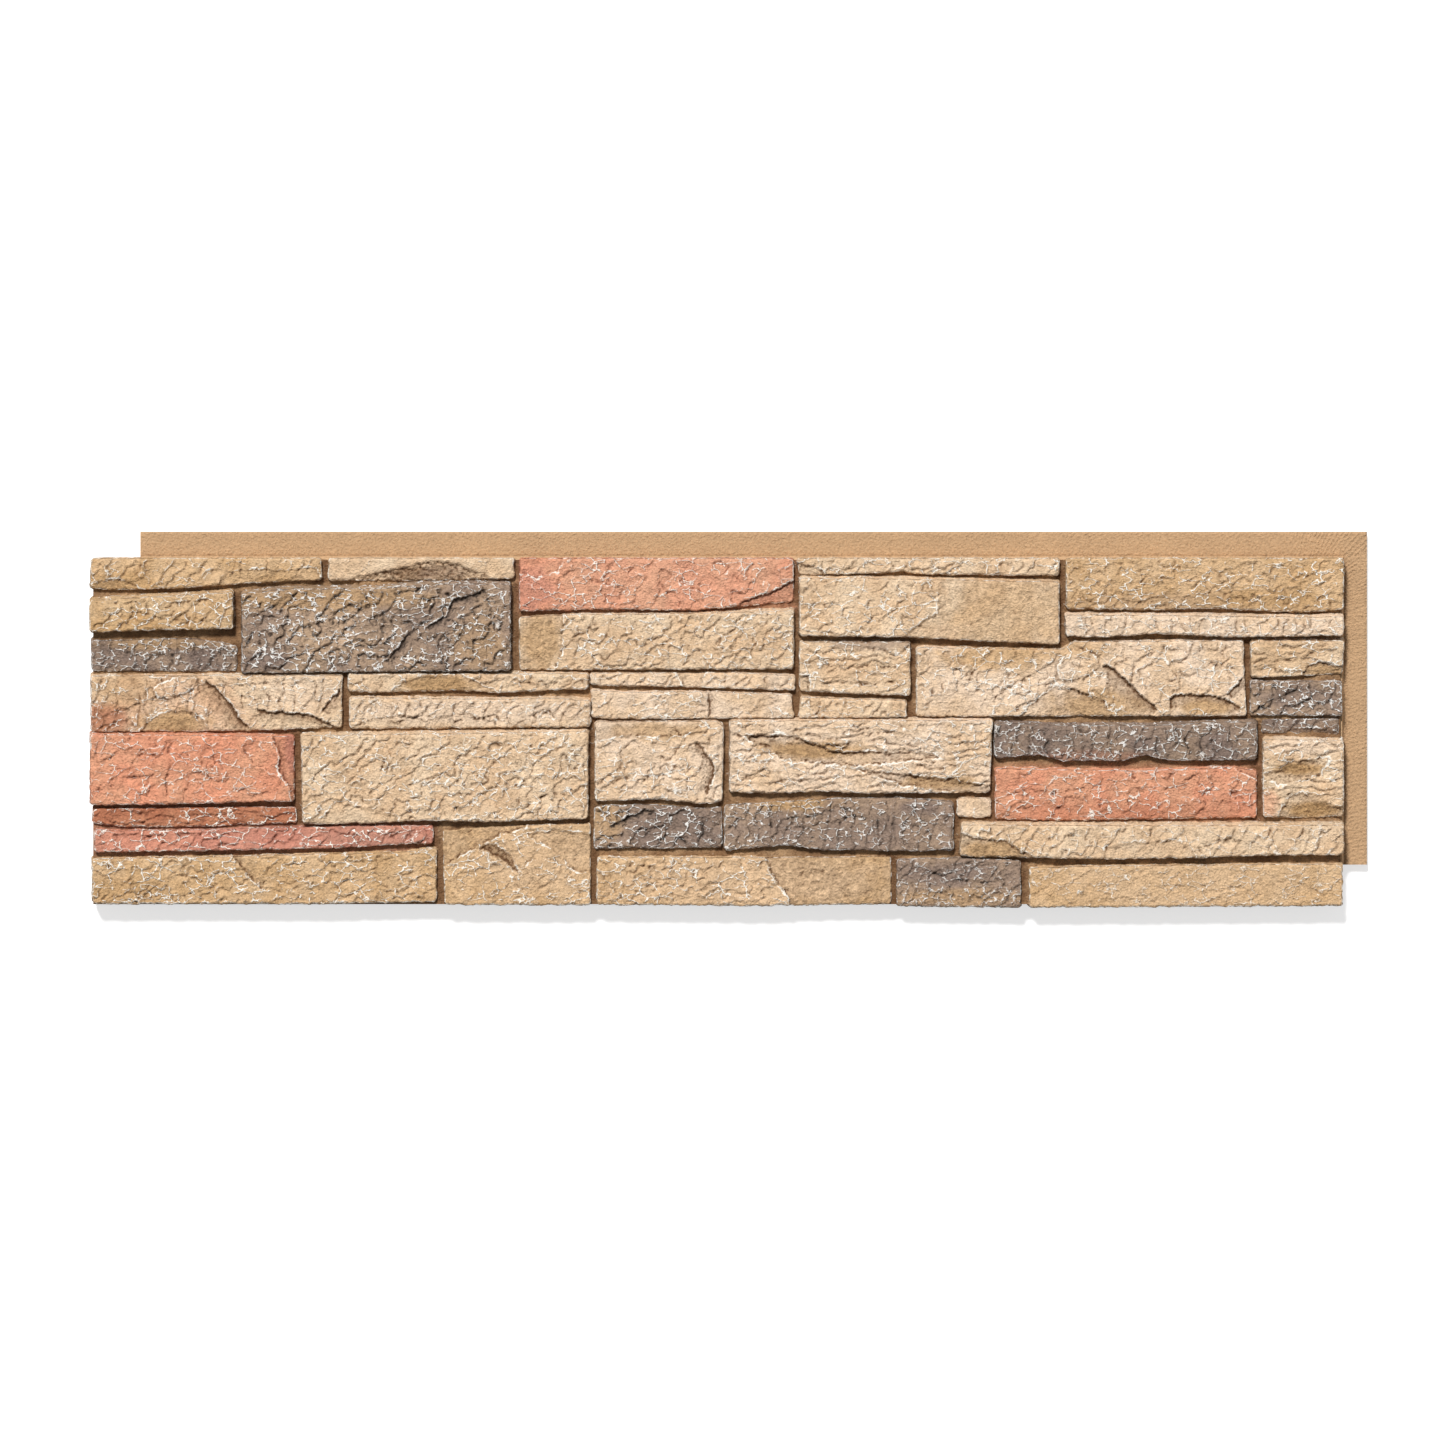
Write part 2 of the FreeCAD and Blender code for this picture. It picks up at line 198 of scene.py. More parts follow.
@dataclass(frozen=True)
class Fold:
    """A crooked lip across a face: the face drops on the right of the line, and rises again over reach.

    A small fold comes and goes along its line. One whose drop nears the second of great_drops is whole, and
    bares stone that is broken in beds. The lip and the foot lie beside the line, a little way off it.
    """

    line: Points
    drop: float = 1.3
    reach: float = 8.0

    great_drops = (1.4, 2.6)
    end_taper = (-1.0, 5.0)
    lip_at, lip_width = 0.6, 0.8
    foot_at, foot_width = -0.8, 1.0
    edge_reach = 3.0
    bed_spacing = 3.3
    bed_height = 0.9

    def cut(
        self, x: np.ndarray, y: np.ndarray, waver: np.ndarray
    ) -> tuple[np.ndarray, np.ndarray, np.ndarray, np.ndarray]:
        """How far the fold takes the face down, and where its lip, its foot and its bared stone are.

        Args:
            x: places along the face.
            y: places up the face.
            waver: a rough pattern, from -1 to 1, that breaks the fold up.

        Returns:
            The depth in millimetres, below 0 on the lip, and how much of a lip, of a foot and of bared
            stone each place is.
        """
        points = np.array(self.line, float)
        runs = np.diff(points, axis=0)
        lengths = np.hypot(runs[:, 0], runs[:, 1])
        nearest = np.full(x.shape, np.inf)
        signed, along = np.zeros(x.shape), np.zeros(x.shape)
        done = 0.0
        for start, run, length in zip(points, runs, lengths):
            px = x - start[0]
            py = y - start[1]
            t = np.clip((px * run[0] + py * run[1]) / length**2, 0, 1)
            away = np.hypot(px - t * run[0], py - t * run[1])
            closer = away < nearest
            nearest = np.where(closer, away, nearest)
            signed = np.where(closer, (py * run[0] - px * run[1]) / length, signed)
            along = np.where(closer, done + t * length, along)
            done += length
        great = ease(*self.great_drops, self.drop)
        taper = np.minimum(ease(*self.end_taper, along), ease(*self.end_taper, lengths.sum() - along))
        taper = taper * (great + (1 - great) * ease(-0.35, 0.15, waver))
        low = ease(0.55, -0.55, signed)
        fade = np.clip(1 - nearest / self.reach, 0, 1)
        beds = nearest / self.bed_spacing + 1.2 * waver
        bare = great * low * taper * ease(0.0, 0.35, fade)
        beds = bare * ease(1.0, 3.0, nearest) * (beds - np.floor(beds) - 0.5)
        lip = taper * hump(signed, self.lip_at, self.lip_width) * (nearest < self.edge_reach)
        foot = taper * hump(signed, self.foot_at, self.foot_width) * (nearest < self.edge_reach)
        depth = self.drop * (taper * low * fade - 0.3 * lip) + self.bed_height * beds
        foot = np.maximum((0.3 + 0.7 * great) * foot, 0.9 * bare * fade**1.5)
        return depth, (0.25 + 0.75 * great) * lip, foot, bare


@dataclass(frozen=True)
class Cloud:
    """A patch of another colour on a stone."""

    centre: tuple[float, float]
    reach: tuple[float, float]
    colour: StoneColour
    strength: float = 0.8


@dataclass(frozen=True)
class StoneShape:
    """One stone of the relief, drawn on the stone face in millimetres, as in the part."""

    name: str
    colour: StoneColour
    lower: Points
    upper: Points
    stand: float
    lean: tuple[float, float] = (0.0, 0.0)
    grain: Grain = EVEN
    brow: float = 2.2
    chips: tuple[Chip, ...] = ()
    clouds: tuple[Cloud, ...] = ()
    folds: tuple[Fold, ...] = ()


# A stone's place in this list picks its random patterns.
STONES = (
    StoneShape(
        "cap_west", SAND, stand=9.5, lean=(1.0, -1.0), grain=SLANTED,
        lower=((1, 271), (26, 270), (85, 272), (124, 275), (197, 279)),
        upper=((1, 297), (197, 297)),
        chips=(
            Chip(((-2, 266), (1, 274), (13, 279), (27, 280), (39, 274), (46, 266)), (20, 268), 2.6),
            Chip(
                ((108, 272), (112, 280), (121, 286), (139, 287.5), (161, 286.5), (192, 289), (200, 270)),
                (160, 274), 1.7, floor=0.5,
            ),
        ),
        clouds=(Cloud((20, 275), (45, 14), OCHRE),),
        folds=(
            Fold(((45, 296), (43, 287), (38, 280)), 1.0), Fold(((70, 296), (66, 285), (62, 277)), 0.8),
        ),
    ),
    StoneShape(
        "cap_split", BUFF, stand=9.0, lean=(1.0, 1.0), grain=CALM,
        lower=((203, 278), (300, 278.5), (361, 280)),
        upper=((203, 297), (361, 297)),
        chips=(
            Chip(
                (
                    (214, 274), (226, 281), (262, 288), (287, 294.5),
                    (306, 294), (322, 288), (336, 284), (346, 274),
                ),
                (284, 276), 4.0, crag=3.4,
            ),
        ),
        clouds=(
            Cloud((272, 284), (30, 7), UMBER, 0.7), Cloud((302, 284), (24, 9), SLATE, 0.5),
        ),
    ),
    StoneShape(
        "ledge_west", OCHRE, stand=12.5, lean=(1.5, -1.0),
        lower=((0, 234), (60, 236), (122, 237)),
        upper=((0, 261), (60, 264.5), (122, 268)),
        clouds=(Cloud((95, 255), (45, 20), BUFF, 0.2),),
        folds=(
            Fold(((63, 253.5), (72, 259.5), (88, 260.5), (104, 263)), 1.6),
            Fold(((34, 240), (37, 250), (35, 258)), 1.0),
            Fold(((50, 243), (66, 246), (88, 243), (108, 245)), 1.0, 6),
        ),
    ),
    StoneShape(
        "slate_block", SLATE, stand=11.5, lean=(2.0, 1.0), grain=CRUMPLED,
        lower=((129.5, 199.5), (358, 201.5)),
        upper=((129.5, 267), (172, 271), (250, 271), (290, 275), (358, 275)),
        clouds=(
            Cloud((200, 262), (110, 12), OCHRE, 0.6), Cloud((262, 234), (40, 28), DARK_SLATE, 0.5),
            Cloud((215, 236), (66, 24), BUFF, 0.32), Cloud((150, 210), (22, 12), DARK_SLATE, 0.9),
            Cloud((330, 225), (26, 26), OCHRE, 0.35),
        ),
        folds=(
            Fold(((250, 207), (257, 216), (263, 221), (269, 231), (275, 237)), 2.8, 10),
            Fold(((285, 238), (296, 244), (303, 248), (309, 262), (326, 266), (338, 272)), 2.6, 10),
            Fold(((213, 241), (222, 247), (231, 255), (240, 259)), 2.0),
            Fold(((222, 224), (240, 222), (258, 227)), 1.4, 6),
            Fold(((326, 272.5), (340.5, 260.5), (345, 245), (344, 232)), 1.9, 10),
            Fold(((136, 246), (150, 254), (165, 262), (176, 268)), 1.8, 9),
            Fold(((178, 238), (190, 242), (198, 244), (206, 252)), 2.0),
            Fold(((236, 268), (256, 270), (276, 272), (300, 271)), 1.4, 5),
        ),
    ),
    StoneShape(
        "slate_strip_west", DARK_SLATE, stand=6.0, lean=(-1.0, 1.0), grain=UPRIGHT,
        lower=((1.5, 201), (125, 201)),
        upper=((1.5, 227), (88, 229), (125, 223)),
        clouds=(Cloud((60, 224), (70, 6), OCHRE, 0.5),),
        folds=(
            Fold(((29, 217), (43, 219.5), (55, 216), (74, 215))),
            Fold(((98, 206), (108, 216), (114, 224))),
        ),
    ),
    StoneShape(
        "cleft_west", BUFF, stand=8.5, lean=(2.0, 1.0), grain=UPRIGHT,
        lower=((1, 149.5), (110, 150), (160, 151), (214.5, 153.5)),
        upper=((1, 197), (214.5, 197.5)),
        chips=(
            Chip(
                (
                    (54, 184), (57, 190), (72, 196), (90, 197), (91, 191),
                    (88, 186), (80, 182), (68, 178), (57, 178),
                ),
                (73, 188), -1.8, floor=0.8, step=0.8,
            ),
            Chip(
                ((40, 147), (50, 159), (66, 167), (84, 166), (98, 158), (103, 147)),
                (74, 149), 2.6, step=0.3,
            ),
        ),
        clouds=(
            Cloud((66, 168), (84, 36), SALMON, 0.22), Cloud((178, 183), (46, 20), CREAM, 0.6),
            Cloud((12, 160), (28, 16), RUST, 0.8), Cloud((70, 156), (34, 14), OCHRE, 0.8),
            Cloud((30, 185), (40, 18), OCHRE, 0.45),
        ),
        folds=(
            Fold(((97, 194), (107, 187), (115, 178), (122, 171), (126, 163), (132, 156), (138, 151)), 3.0, 20),
            Fold(
                (
                    (140, 169.5), (154, 166.5), (161, 167.5), (167, 165.5),
                    (183, 165), (192, 162.5), (201, 158), (212, 152),
                ),
                2.8, 14,
            ),
            Fold(((196, 163.5), (198, 169.5), (205, 177.5), (214, 187)), 2.6, 14),
            Fold(((61, 173), (76, 169.5), (89, 165.5), (95, 163))),
            Fold(((110, 192), (130, 189), (150, 192), (172, 190), (190, 194)), 1.2),
            Fold(((8, 160), (18, 167), (32, 170), (44, 176)), 1.8, 10),
            Fold(((4, 153), (20, 157), (34, 160)), 1.5),
            Fold(((126, 182), (140, 176), (150, 181), (168, 178)), 1.2),
        ),
    ),
    StoneShape(
        "strip_middle_upper", BUFF, stand=9.5,
        lower=((220, 183), (315, 184.5), (344, 182.5), (424, 186)),
        upper=((220, 198.5), (424, 199)),
        chips=(
            Chip(((250, 180), (268, 192), (282, 197), (318, 197), (332, 191), (350, 180)), (300, 183), 2.4),
        ),
        clouds=(Cloud((296, 190), (38, 10), OCHRE, 0.9),),
        folds=(Fold(((356, 189), (368, 193), (384, 190), (410, 193)), 1.2, 6),),
    ),
    StoneShape(
        "strip_middle_lower", BUFF, stand=9.0, lean=(0.5, 1.0), grain=SLANTED,
        lower=((221, 152), (426, 153.5)),
        upper=((221, 178.5), (351, 177), (392, 178), (426, 176)),
        chips=(
            Chip(
                ((216, 150), (232, 158), (262, 164), (290, 160), (318, 166), (345, 158), (350, 148)),
                (280, 151), 1.6,
            ),
        ),
        clouds=(Cloud((330, 166), (130, 14), CREAM, 0.8),),
        folds=(
            Fold(((255, 157.5), (271, 160), (285, 166), (297, 169.5)), 1.5),
            Fold(((307, 157.5), (320, 162.5), (333.5, 161), (344, 164.5), (351, 159)), 1.5),
            Fold(((360, 154), (372, 161), (384, 168), (391, 172)), 1.5),
            Fold(((391, 172), (394.5, 163), (400, 159)), 1.2, 6),
        ),
    ),
    StoneShape(
        "red_cap", SALMON, stand=9.5, lean=(0.5, -0.5), grain=VEINED,
        lower=((365.5, 252), (400, 252.5), (434, 254), (513, 252.5), (551, 256), (599, 260)),
        upper=((365.5, 297), (599, 297)),
        chips=(
            Chip(((545, 250), (556, 261), (580, 268), (594, 276), (603, 278), (603, 252)), (600, 258), 6.0),
            Chip(((362, 299), (364, 284), (380, 281), (398, 286), (404, 299)), (372, 295), 1.6),
        ),
        clouds=(
            Cloud((500, 278), (150, 40), CREAM, 0.14), Cloud((375, 270), (24, 26), ROSE, 0.65),
        ),
        folds=(
            Fold(((398, 260.5), (410, 261.5), (417, 258.5), (426, 263)), 1.3, 6),
            Fold(((436, 255), (439, 264), (434.5, 269), (440.5, 278), (438, 287))),
            Fold(((448, 260), (455, 274), (459, 285), (460.5, 293)), 1.2),
            Fold(((493, 259), (490, 267), (485, 276), (480, 284)), 1.2),
            Fold(((555, 269), (553, 276), (545, 283))),
            Fold(((520, 262), (517, 272), (522, 282)), 1.0, 6),
        ),
    ),
    StoneShape(
        "buff_middle", BUFF, stand=9.5, lean=(2.0, 0.5),
        lower=((365.5, 202), (599, 203)),
        upper=((365.5, 247), (403, 249), (480, 249.5), (555, 251), (599, 252.5)),
        chips=(
            Chip(
                ((360, 199), (378, 199), (396, 206), (402, 216), (403, 256), (360, 256)),
                (380, 228), 1.6, floor=0.86,
            ),
        ),
        clouds=(Cloud((384, 225), (22, 30), SAND, 0.8),),
        folds=(
            Fold(((380, 216), (386, 210), (396, 204.5)), 1.6),
            Fold(((520, 214), (532, 220), (546, 218)), 1.0, 6),
            Fold(((478, 224), (481, 236), (477, 244)), 0.9, 6),
        ),
    ),
    StoneShape(
        "strip_under_buff", CREAM, stand=8.5, lean=(1.0, -1.0), grain=SLANTED,
        lower=((426, 189), (490, 188), (555, 186), (600, 184.5)),
        upper=((426, 199), (546, 200), (600, 197)),
        chips=(Chip(((506, 184), (503, 193), (498, 203), (524, 203), (520, 184)), (511, 196), 1.4, floor=0.5),),
        folds=(Fold(((540, 189), (560, 192), (590, 189)), 1.0, 6),),
    ),
    StoneShape(
        "flag_middle", CREAM, stand=8.5, grain=MILD,
        lower=((427, 162), (440, 160.5), (599, 161)),
        upper=((427, 185), (452, 183), (525, 183.5), (597, 181)),
        chips=(
            Chip(
                ((444, 158), (440, 172), (446, 187), (461, 187), (463, 170), (458, 158)),
                (452, 172), 0.9, floor=0.7,
            ),
        ),
        folds=(
            Fold(((470, 166), (482, 172), (496, 176)), 0.9),
            Fold(((560, 166), (572, 172), (584, 176)), 1.0),
            Fold(((525.5, 159), (526.5, 168), (526, 176), (527, 186)), 2.4, 7),
        ),
    ),
    StoneShape(
        "flag_small", BUFF, stand=8.5, lean=(2.0, 0.0), grain=SLANTED,
        lower=((603, 161.5), (695, 161.5)),
        upper=((605, 179), (695, 176)),
        folds=(
            Fold(((616, 165), (628, 172), (640, 175)), 1.2),
            Fold(((664, 163), (672, 170), (684, 174)), 1.0),
        ),
    ),
    StoneShape(
        "cap_middle", BUFF, stand=9.0, lean=(1.0, 0.0),
        lower=((603, 283), (678, 284.5), (690, 286), (708, 283.5), (825, 282.5)),
        upper=((602, 297), (825, 297)),
        chips=(
            Chip(((598, 300), (606, 292), (620, 289), (628, 280), (598, 280)), (606, 285), 2.4, floor=0.2),
            Chip(((678, 298), (682, 290), (694, 290), (702, 298)), (688, 296), 1.6),
        ),
        folds=(Fold(((718, 285), (717, 295)), 1.2),),
    ),
    StoneShape(
        "buff_high", BUFF, stand=12.5, lean=(0.5, -1.5), grain=WRINKLED,
        lower=((604, 231), (697, 230), (758, 226.5), (825, 224)),
        upper=((604, 280), (708, 279), (825, 277)),
        chips=(
            Chip(
                (
                    (704, 284), (718, 277), (722.6, 270), (721, 250), (708, 243),
                    (694, 233), (690, 220), (832, 218), (832, 286),
                ),
                (770, 250), 1.5, floor=0.9,
            ),
        ),
        clouds=(Cloud((780, 250), (60, 40), SAND, 0.5),),
        folds=(
            Fold(((694, 263), (702.5, 267.5), (705, 276)), 1.2),
            Fold(((605, 243), (616, 245), (623, 250)), 1.2),
            Fold(((604, 259), (624, 258), (640, 262)), 0.9, 6),
            Fold(((650, 236), (664, 247), (676, 252)), 1.0),
        ),
    ),
    StoneShape(
        "block_small", BUFF, stand=10.0, lean=(1.5, -1.0), grain=BEDDED,
        lower=((604, 184), (698, 180)),
        upper=((604, 226), (698, 225.5)),
        chips=(Chip(((600, 178), (613, 178), (613, 197), (600, 197)), (605, 187), 2.2, floor=0.6),),
        clouds=(Cloud((665, 224), (45, 7), SLATE, 0.7),),
        folds=(
            Fold(((604, 208), (622, 210), (633, 205), (650, 207), (690, 204)), 1.7, 9),
            Fold(((620, 190), (640, 194), (660, 190), (690, 193)), 1.5),
        ),
    ),
    StoneShape(
        "cleft_great", CREAM, stand=9.5, lean=(0.5, -0.5), grain=WRINKLED,
        lower=((703.5, 162.5), (984, 163)),
        upper=((703.5, 221), (828, 219.5), (838, 226), (981.5, 227)),
        chips=(
            Chip(
                (
                    (823, 199.5), (825, 210), (835, 218.5), (849, 218.5), (856, 213),
                    (859, 205.5), (854, 200), (842, 195), (828, 192),
                ),
                (842, 206), -1.7, floor=0.82,
            ),
            Chip(
                ((822, 188), (838, 185), (852, 181), (863, 175), (872, 158), (788, 158), (800, 172)),
                (836, 160), 3.4, step=0.25,
            ),
            Chip(
                ((700, 158), (711, 166), (716, 180), (736, 186), (756, 184), (767, 170), (767, 158)),
                (728, 162), 1.0, step=0.1,
            ),
        ),
        clouds=(
            Cloud((766, 212), (60, 12), SAND, 0.8), Cloud((860, 172), (46, 16), SAND, 0.8),
            Cloud((950, 170), (33, 9), OCHRE, 0.8), Cloud((820, 220), (60, 10), SAND, 0.7),
        ),
        folds=(
            Fold(
                (
                    (860, 203), (865, 206), (872, 203), (880.5, 195),
                    (889, 186.5), (898, 177), (905, 173), (910, 166),
                ),
                3.2, 22,
            ),
            Fold(((829, 187), (837, 185.5), (851, 181), (859, 180), (864, 175), (869, 168)), 1.8, 12),
            Fold(
                (
                    (767.5, 163), (767.5, 172), (771, 180), (777, 185.5),
                    (787, 190.5), (794.5, 195), (806, 201), (814, 205),
                ),
                1.5, 10,
            ),
            Fold(
                ((787, 164), (789, 171), (798, 175), (806, 177), (809, 184), (813, 189.5), (820, 192.5)),
                1.8, 9,
            ),
            Fold(
                (
                    (917.5, 167), (919, 175), (922, 181), (932, 181), (947, 181.5),
                    (955, 180), (965, 178), (972, 174), (981, 168),
                ),
                2.8, 14,
            ),
            Fold(((966.5, 179), (973.5, 187.5), (982, 197)), 2.6, 14),
            Fold(((957, 203), (962, 217), (968, 225)), 1.3, 9),
            Fold(((736, 190), (748, 201), (756, 214)), 1.5, 9),
            Fold(((770, 196), (786, 200), (802, 196)), 1.2),
            Fold(((884, 222), (900, 216), (912, 220)), 1.0, 6),
        ),
    ),
    StoneShape(
        "cap_east", SAND, stand=9.5, lean=(-0.5, 1.0), grain=FINE,
        lower=((831, 254), (907, 253), (946, 254.5), (986, 253), (1030, 251), (1067, 253.5)),
        upper=((831, 297), (1067, 297)),
        # These clouds make the stone darker towards the bottom.
        clouds=(
            Cloud((940, 258), (120, 12), SLATE, 0.3), Cloud((1000, 262), (60, 10), OCHRE, 0.8),
        ),
        folds=(
            Fold(((884, 257), (888, 260), (906, 260.5), (934, 258)), 1.0, 6),
            Fold(((966, 262), (990, 266), (1020, 263), (1050, 266)), 1.0),
            Fold(((948, 270), (962, 276), (958, 288)), 0.9, 6),
        ),
    ),
    StoneShape(
        "strip_east", CREAM, stand=12.0, lean=(0.5, -0.5), grain=UPRIGHT,
        lower=((830.5, 231), (862, 230), (907, 233), (970, 230), (1067, 231.5)),
        upper=((830.5, 249), (1012, 247), (1067, 247)),
    ),
    StoneShape(
        "chipped_east", BUFF, stand=9.0, lean=(-1.0, 0.5), grain=BEDDED,
        lower=((988, 195.5), (1030, 197), (1066, 199)),
        upper=((988, 227), (1067, 227)),
        chips=(
            Chip(
                ((1029, 193), (1036, 205), (1049, 209), (1061, 206), (1070, 204), (1070, 193)),
                (1052, 196), 4.2,
            ),
        ),
        clouds=(
            Cloud((1050, 201), (20, 8), OCHRE), Cloud((1010, 214), (50, 16), SAND, 0.4),
        ),
        folds=(
            Fold(((994, 213), (1010, 210), (1026, 213), (1044, 217)), 1.7),
            Fold(((990, 202), (1004, 205), (1016, 202)), 1.3, 6),
        ),
    ),
    StoneShape(
        "slate_east", SLATE, stand=7.5, grain=CRUMPLED,
        lower=((987.5, 163.5), (1065.5, 163)),
        upper=((987.5, 193), (1065.5, 192)),
        clouds=(Cloud((1030, 178), (40, 12), DARK_SLATE, 0.7),),
        folds=(
            Fold(((992, 168), (1004, 176), (1018, 182), (1030, 189)), 1.8, 9),
            Fold(((1036, 166), (1046, 174), (1060, 177)), 1.5),
        ),
    ),
    StoneShape(
        "slate_sliver_east", DARK_SLATE, stand=4.5,
        lower=((997.5, 148), (1020, 148.5), (1063, 147)),
        upper=((997.5, 160.5), (1063, 161)),
        chips=(Chip(((1016, 144), (1020, 151), (1032, 153), (1066, 150), (1066, 144)), (1042, 147), 2.2),),
        clouds=(Cloud((1042, 150), (24, 6), UMBER, 0.5),),
    ),
    StoneShape(
        "cleft_east", BUFF, stand=9.5, lean=(-1.0, 1.0), grain=BEDDED,
        lower=((998.5, 77), (1030, 76), (1067, 77.5)),
        upper=((998.5, 143), (1067, 142)),
        chips=(
            Chip(
                (
                    (999, 113), (1008, 116), (1018, 123), (1032, 126),
                    (1055, 127), (1046, 112), (1026, 107), (1012, 104),
                ),
                (1026, 118), 3.2, step=0.3, crag=1.2,
            ),
            Chip(
                (
                    (1010, 72), (1014, 84), (1021, 94), (1031, 97.5),
                    (1042, 91), (1060, 87), (1070, 84), (1070, 72),
                ),
                (1038, 77), 4.0, step=0.3, crag=1.2,
            ),
        ),
        clouds=(
            Cloud((1032, 137), (44, 9), CREAM, 0.8), Cloud((1029, 118), (24, 7), OCHRE, 1.0),
            Cloud((1040, 83), (28, 9), OCHRE, 1.0), Cloud((1003, 88), (10, 14), SALMON, 0.45),
        ),
        folds=(
            Fold(((1018, 93), (1024, 102), (1030, 107.5), (1043, 112.5), (1050, 116)), 1.7, 9),
            Fold(((1000, 102), (1008, 101), (1018, 99)), 1.1),
        ),
    ),
    StoneShape(
        "slate_long", DARK_SLATE, stand=10.5, lean=(1.0, 0.0), grain=UPRIGHT,
        lower=((770, 127), (808, 130), (828, 124.5), (880, 125), (897, 129.5), (918, 125), (993, 125.5)),
        upper=((770, 157), (819, 155), (915, 155), (969, 158), (993, 157)),
        clouds=(
            Cloud((850, 128), (60, 7), RUST, 0.35), Cloud((880, 150), (70, 9), SLATE, 0.8),
        ),
        folds=(
            Fold(((817.5, 126), (811.5, 135), (814, 143.5), (810.5, 150.5)), 2.0, 9),
            Fold(((844, 128), (835, 133), (832, 142))),
            Fold(((908, 126), (906, 137), (908, 147)), 1.9),
            Fold(((934, 128), (932.5, 137), (930, 147)), 1.7),
            Fold(((946, 127), (941, 137), (944, 148))),
            Fold(((868, 130), (865, 140), (868, 150)), 1.2, 6),
        ),
    ),
    StoneShape(
        "red_east", SALMON, stand=8.0, lean=(0.5, 2.0), grain=VEINED,
        lower=((770.5, 75), (828, 74), (993, 76.5)),
        upper=((770.5, 118), (837, 117), (889, 116), (974, 119), (993, 117)),
        chips=(Chip(((972, 122), (978, 116), (992, 109), (997, 109), (997, 122)), (992, 118), 3.4),),
        clouds=(Cloud((880, 80), (130, 12), RUST, 0.4),),
        folds=(
            Fold(((911, 100), (924, 103.5), (936, 110.5), (943, 114)), 1.6),
            Fold(((960, 86), (967, 95), (976, 103.5), (976, 111)), 1.5, 9),
            Fold(((778, 96), (800, 101), (824, 98), (850, 103)), 1.2),
            Fold(((786, 84), (810, 87), (836, 85)), 1.2, 6),
        ),
    ),
    StoneShape(
        "shelf_east", BUFF, stand=12.5, lean=(1.0, -0.5), grain=SLANTED,
        lower=((740, 43.5), (828, 42), (862, 41), (939, 42), (1004, 44.5), (1067, 44.5)),
        upper=((742, 70), (924, 69.5), (1067, 69.5)),
        chips=(
            Chip(((734, 66), (755, 58), (779, 57), (793, 48), (814, 38), (734, 36)), (757, 44), 4.0),
            Chip(((860, 38), (864, 50), (884, 55), (926, 57), (938, 48), (942, 38)), (900, 42), 1.3),
        ),
        clouds=(Cloud((768, 48), (34, 11), OCHRE, 0.8),),
        folds=(
            Fold(((939.5, 42.5), (941, 54.5), (955, 56.5), (967, 58), (983, 56.5)), 1.3, 10),
            Fold(((830, 67), (836, 62), (846, 60)), 1.2, 6), Fold(((1000, 47), (1003, 58), (1001, 68)), 1.2),
            Fold(((1030, 47), (1028, 58), (1032, 68)), 1.0),
        ),
    ),
    StoneShape(
        "pebble", CREAM, stand=7.0, grain=CALM,
        lower=((738, 77), (767, 76.5)),
        upper=((738, 93), (767, 93)),
    ),
    StoneShape(
        "cleft_middle", CREAM, stand=11.0, lean=(1.0, 1.0), grain=BEDDED,
        lower=((544.5, 98), (581, 97), (628, 99), (650, 97), (766, 98)),
        upper=((544.5, 158.5), (768, 159)),
        chips=(
            Chip(
                (
                    (556, 146), (593, 146.5), (614, 140), (634, 133),
                    (714, 131.5), (724, 127), (650, 120), (590, 126),
                ),
                (634, 131), 3.2,
            ),
            Chip(
                ((652, 118), (694, 113), (734, 109), (771, 103), (771, 96), (735, 98), (690, 104)),
                (726, 107), 3.0,
            ),
        ),
        clouds=(
            Cloud((612, 134), (50, 9), OCHRE, 0.9), Cloud((722, 106), (44, 7), OCHRE),
        ),
        folds=(
            Fold(((549, 148), (560, 145), (572, 148), (589.5, 146)), 1.9, 6),
            Fold(((548, 157), (555, 154), (562, 156), (576, 154)), 1.6, 4),
            Fold(((560, 137.5), (572, 139), (581, 137.5)), 1.5, 4),
            Fold(((601, 147), (607, 142), (621, 140), (633, 139), (650, 139)), 1.3, 6),
            Fold(((659, 145), (666, 148.5), (685, 150.5)), 1.6, 6),
            Fold(((546, 107), (560, 110.5), (577, 112), (595, 110.5), (616, 108.5)), 1.3, 9),
            Fold(((700, 122), (716, 121), (732, 117)), 1.3, 6),
        ),
    ),
    StoneShape(
        "buff_low", CREAM, stand=9.5, lean=(1.0, 0.5),
        lower=((430, 90.5), (482, 92), (520, 88), (538, 90)),
        upper=((430, 158), (533, 158.5), (539.5, 153)),
        chips=(
            Chip(
                ((426, 141), (452, 146), (500, 145), (516, 152), (524, 162), (426, 162)),
                (450, 156), 1.5, floor=0.6,
            ),
        ),
        clouds=(Cloud((480, 150), (50, 9), OCHRE, 0.6),),
        folds=(
            Fold(((497, 154), (503, 147), (502.5, 137), (494, 124.5)), 1.7, 10),
            Fold(((469, 105), (475, 112), (488, 114), (492, 110.5), (508, 108.5)), 1.6),
            Fold(((438, 102), (452, 110.5), (462, 112)), 1.2),
            Fold(((518, 142), (525, 130), (529.5, 124), (532, 116), (528, 102), (525, 93)), 2.7, 14),
            Fold(((500, 120), (513, 121.5), (524, 118)), 1.3, 6),
        ),
    ),
    StoneShape(
        "slate_low_west", SLATE, stand=6.5, lean=(0.5, -1.0), grain=CRUMPLED,
        lower=((429, 50), (538, 51)),
        upper=((429, 86.5), (482, 87.5), (520, 84), (538, 85.5)),
        clouds=(
            Cloud((500, 66), (60, 30), DARK_SLATE), Cloud((440, 74), (16, 22), SAND, 0.6),
        ),
        folds=(
            Fold(((440, 69), (448.5, 72), (461, 79), (473, 82.5), (482, 82.5)), 2.6, 9),
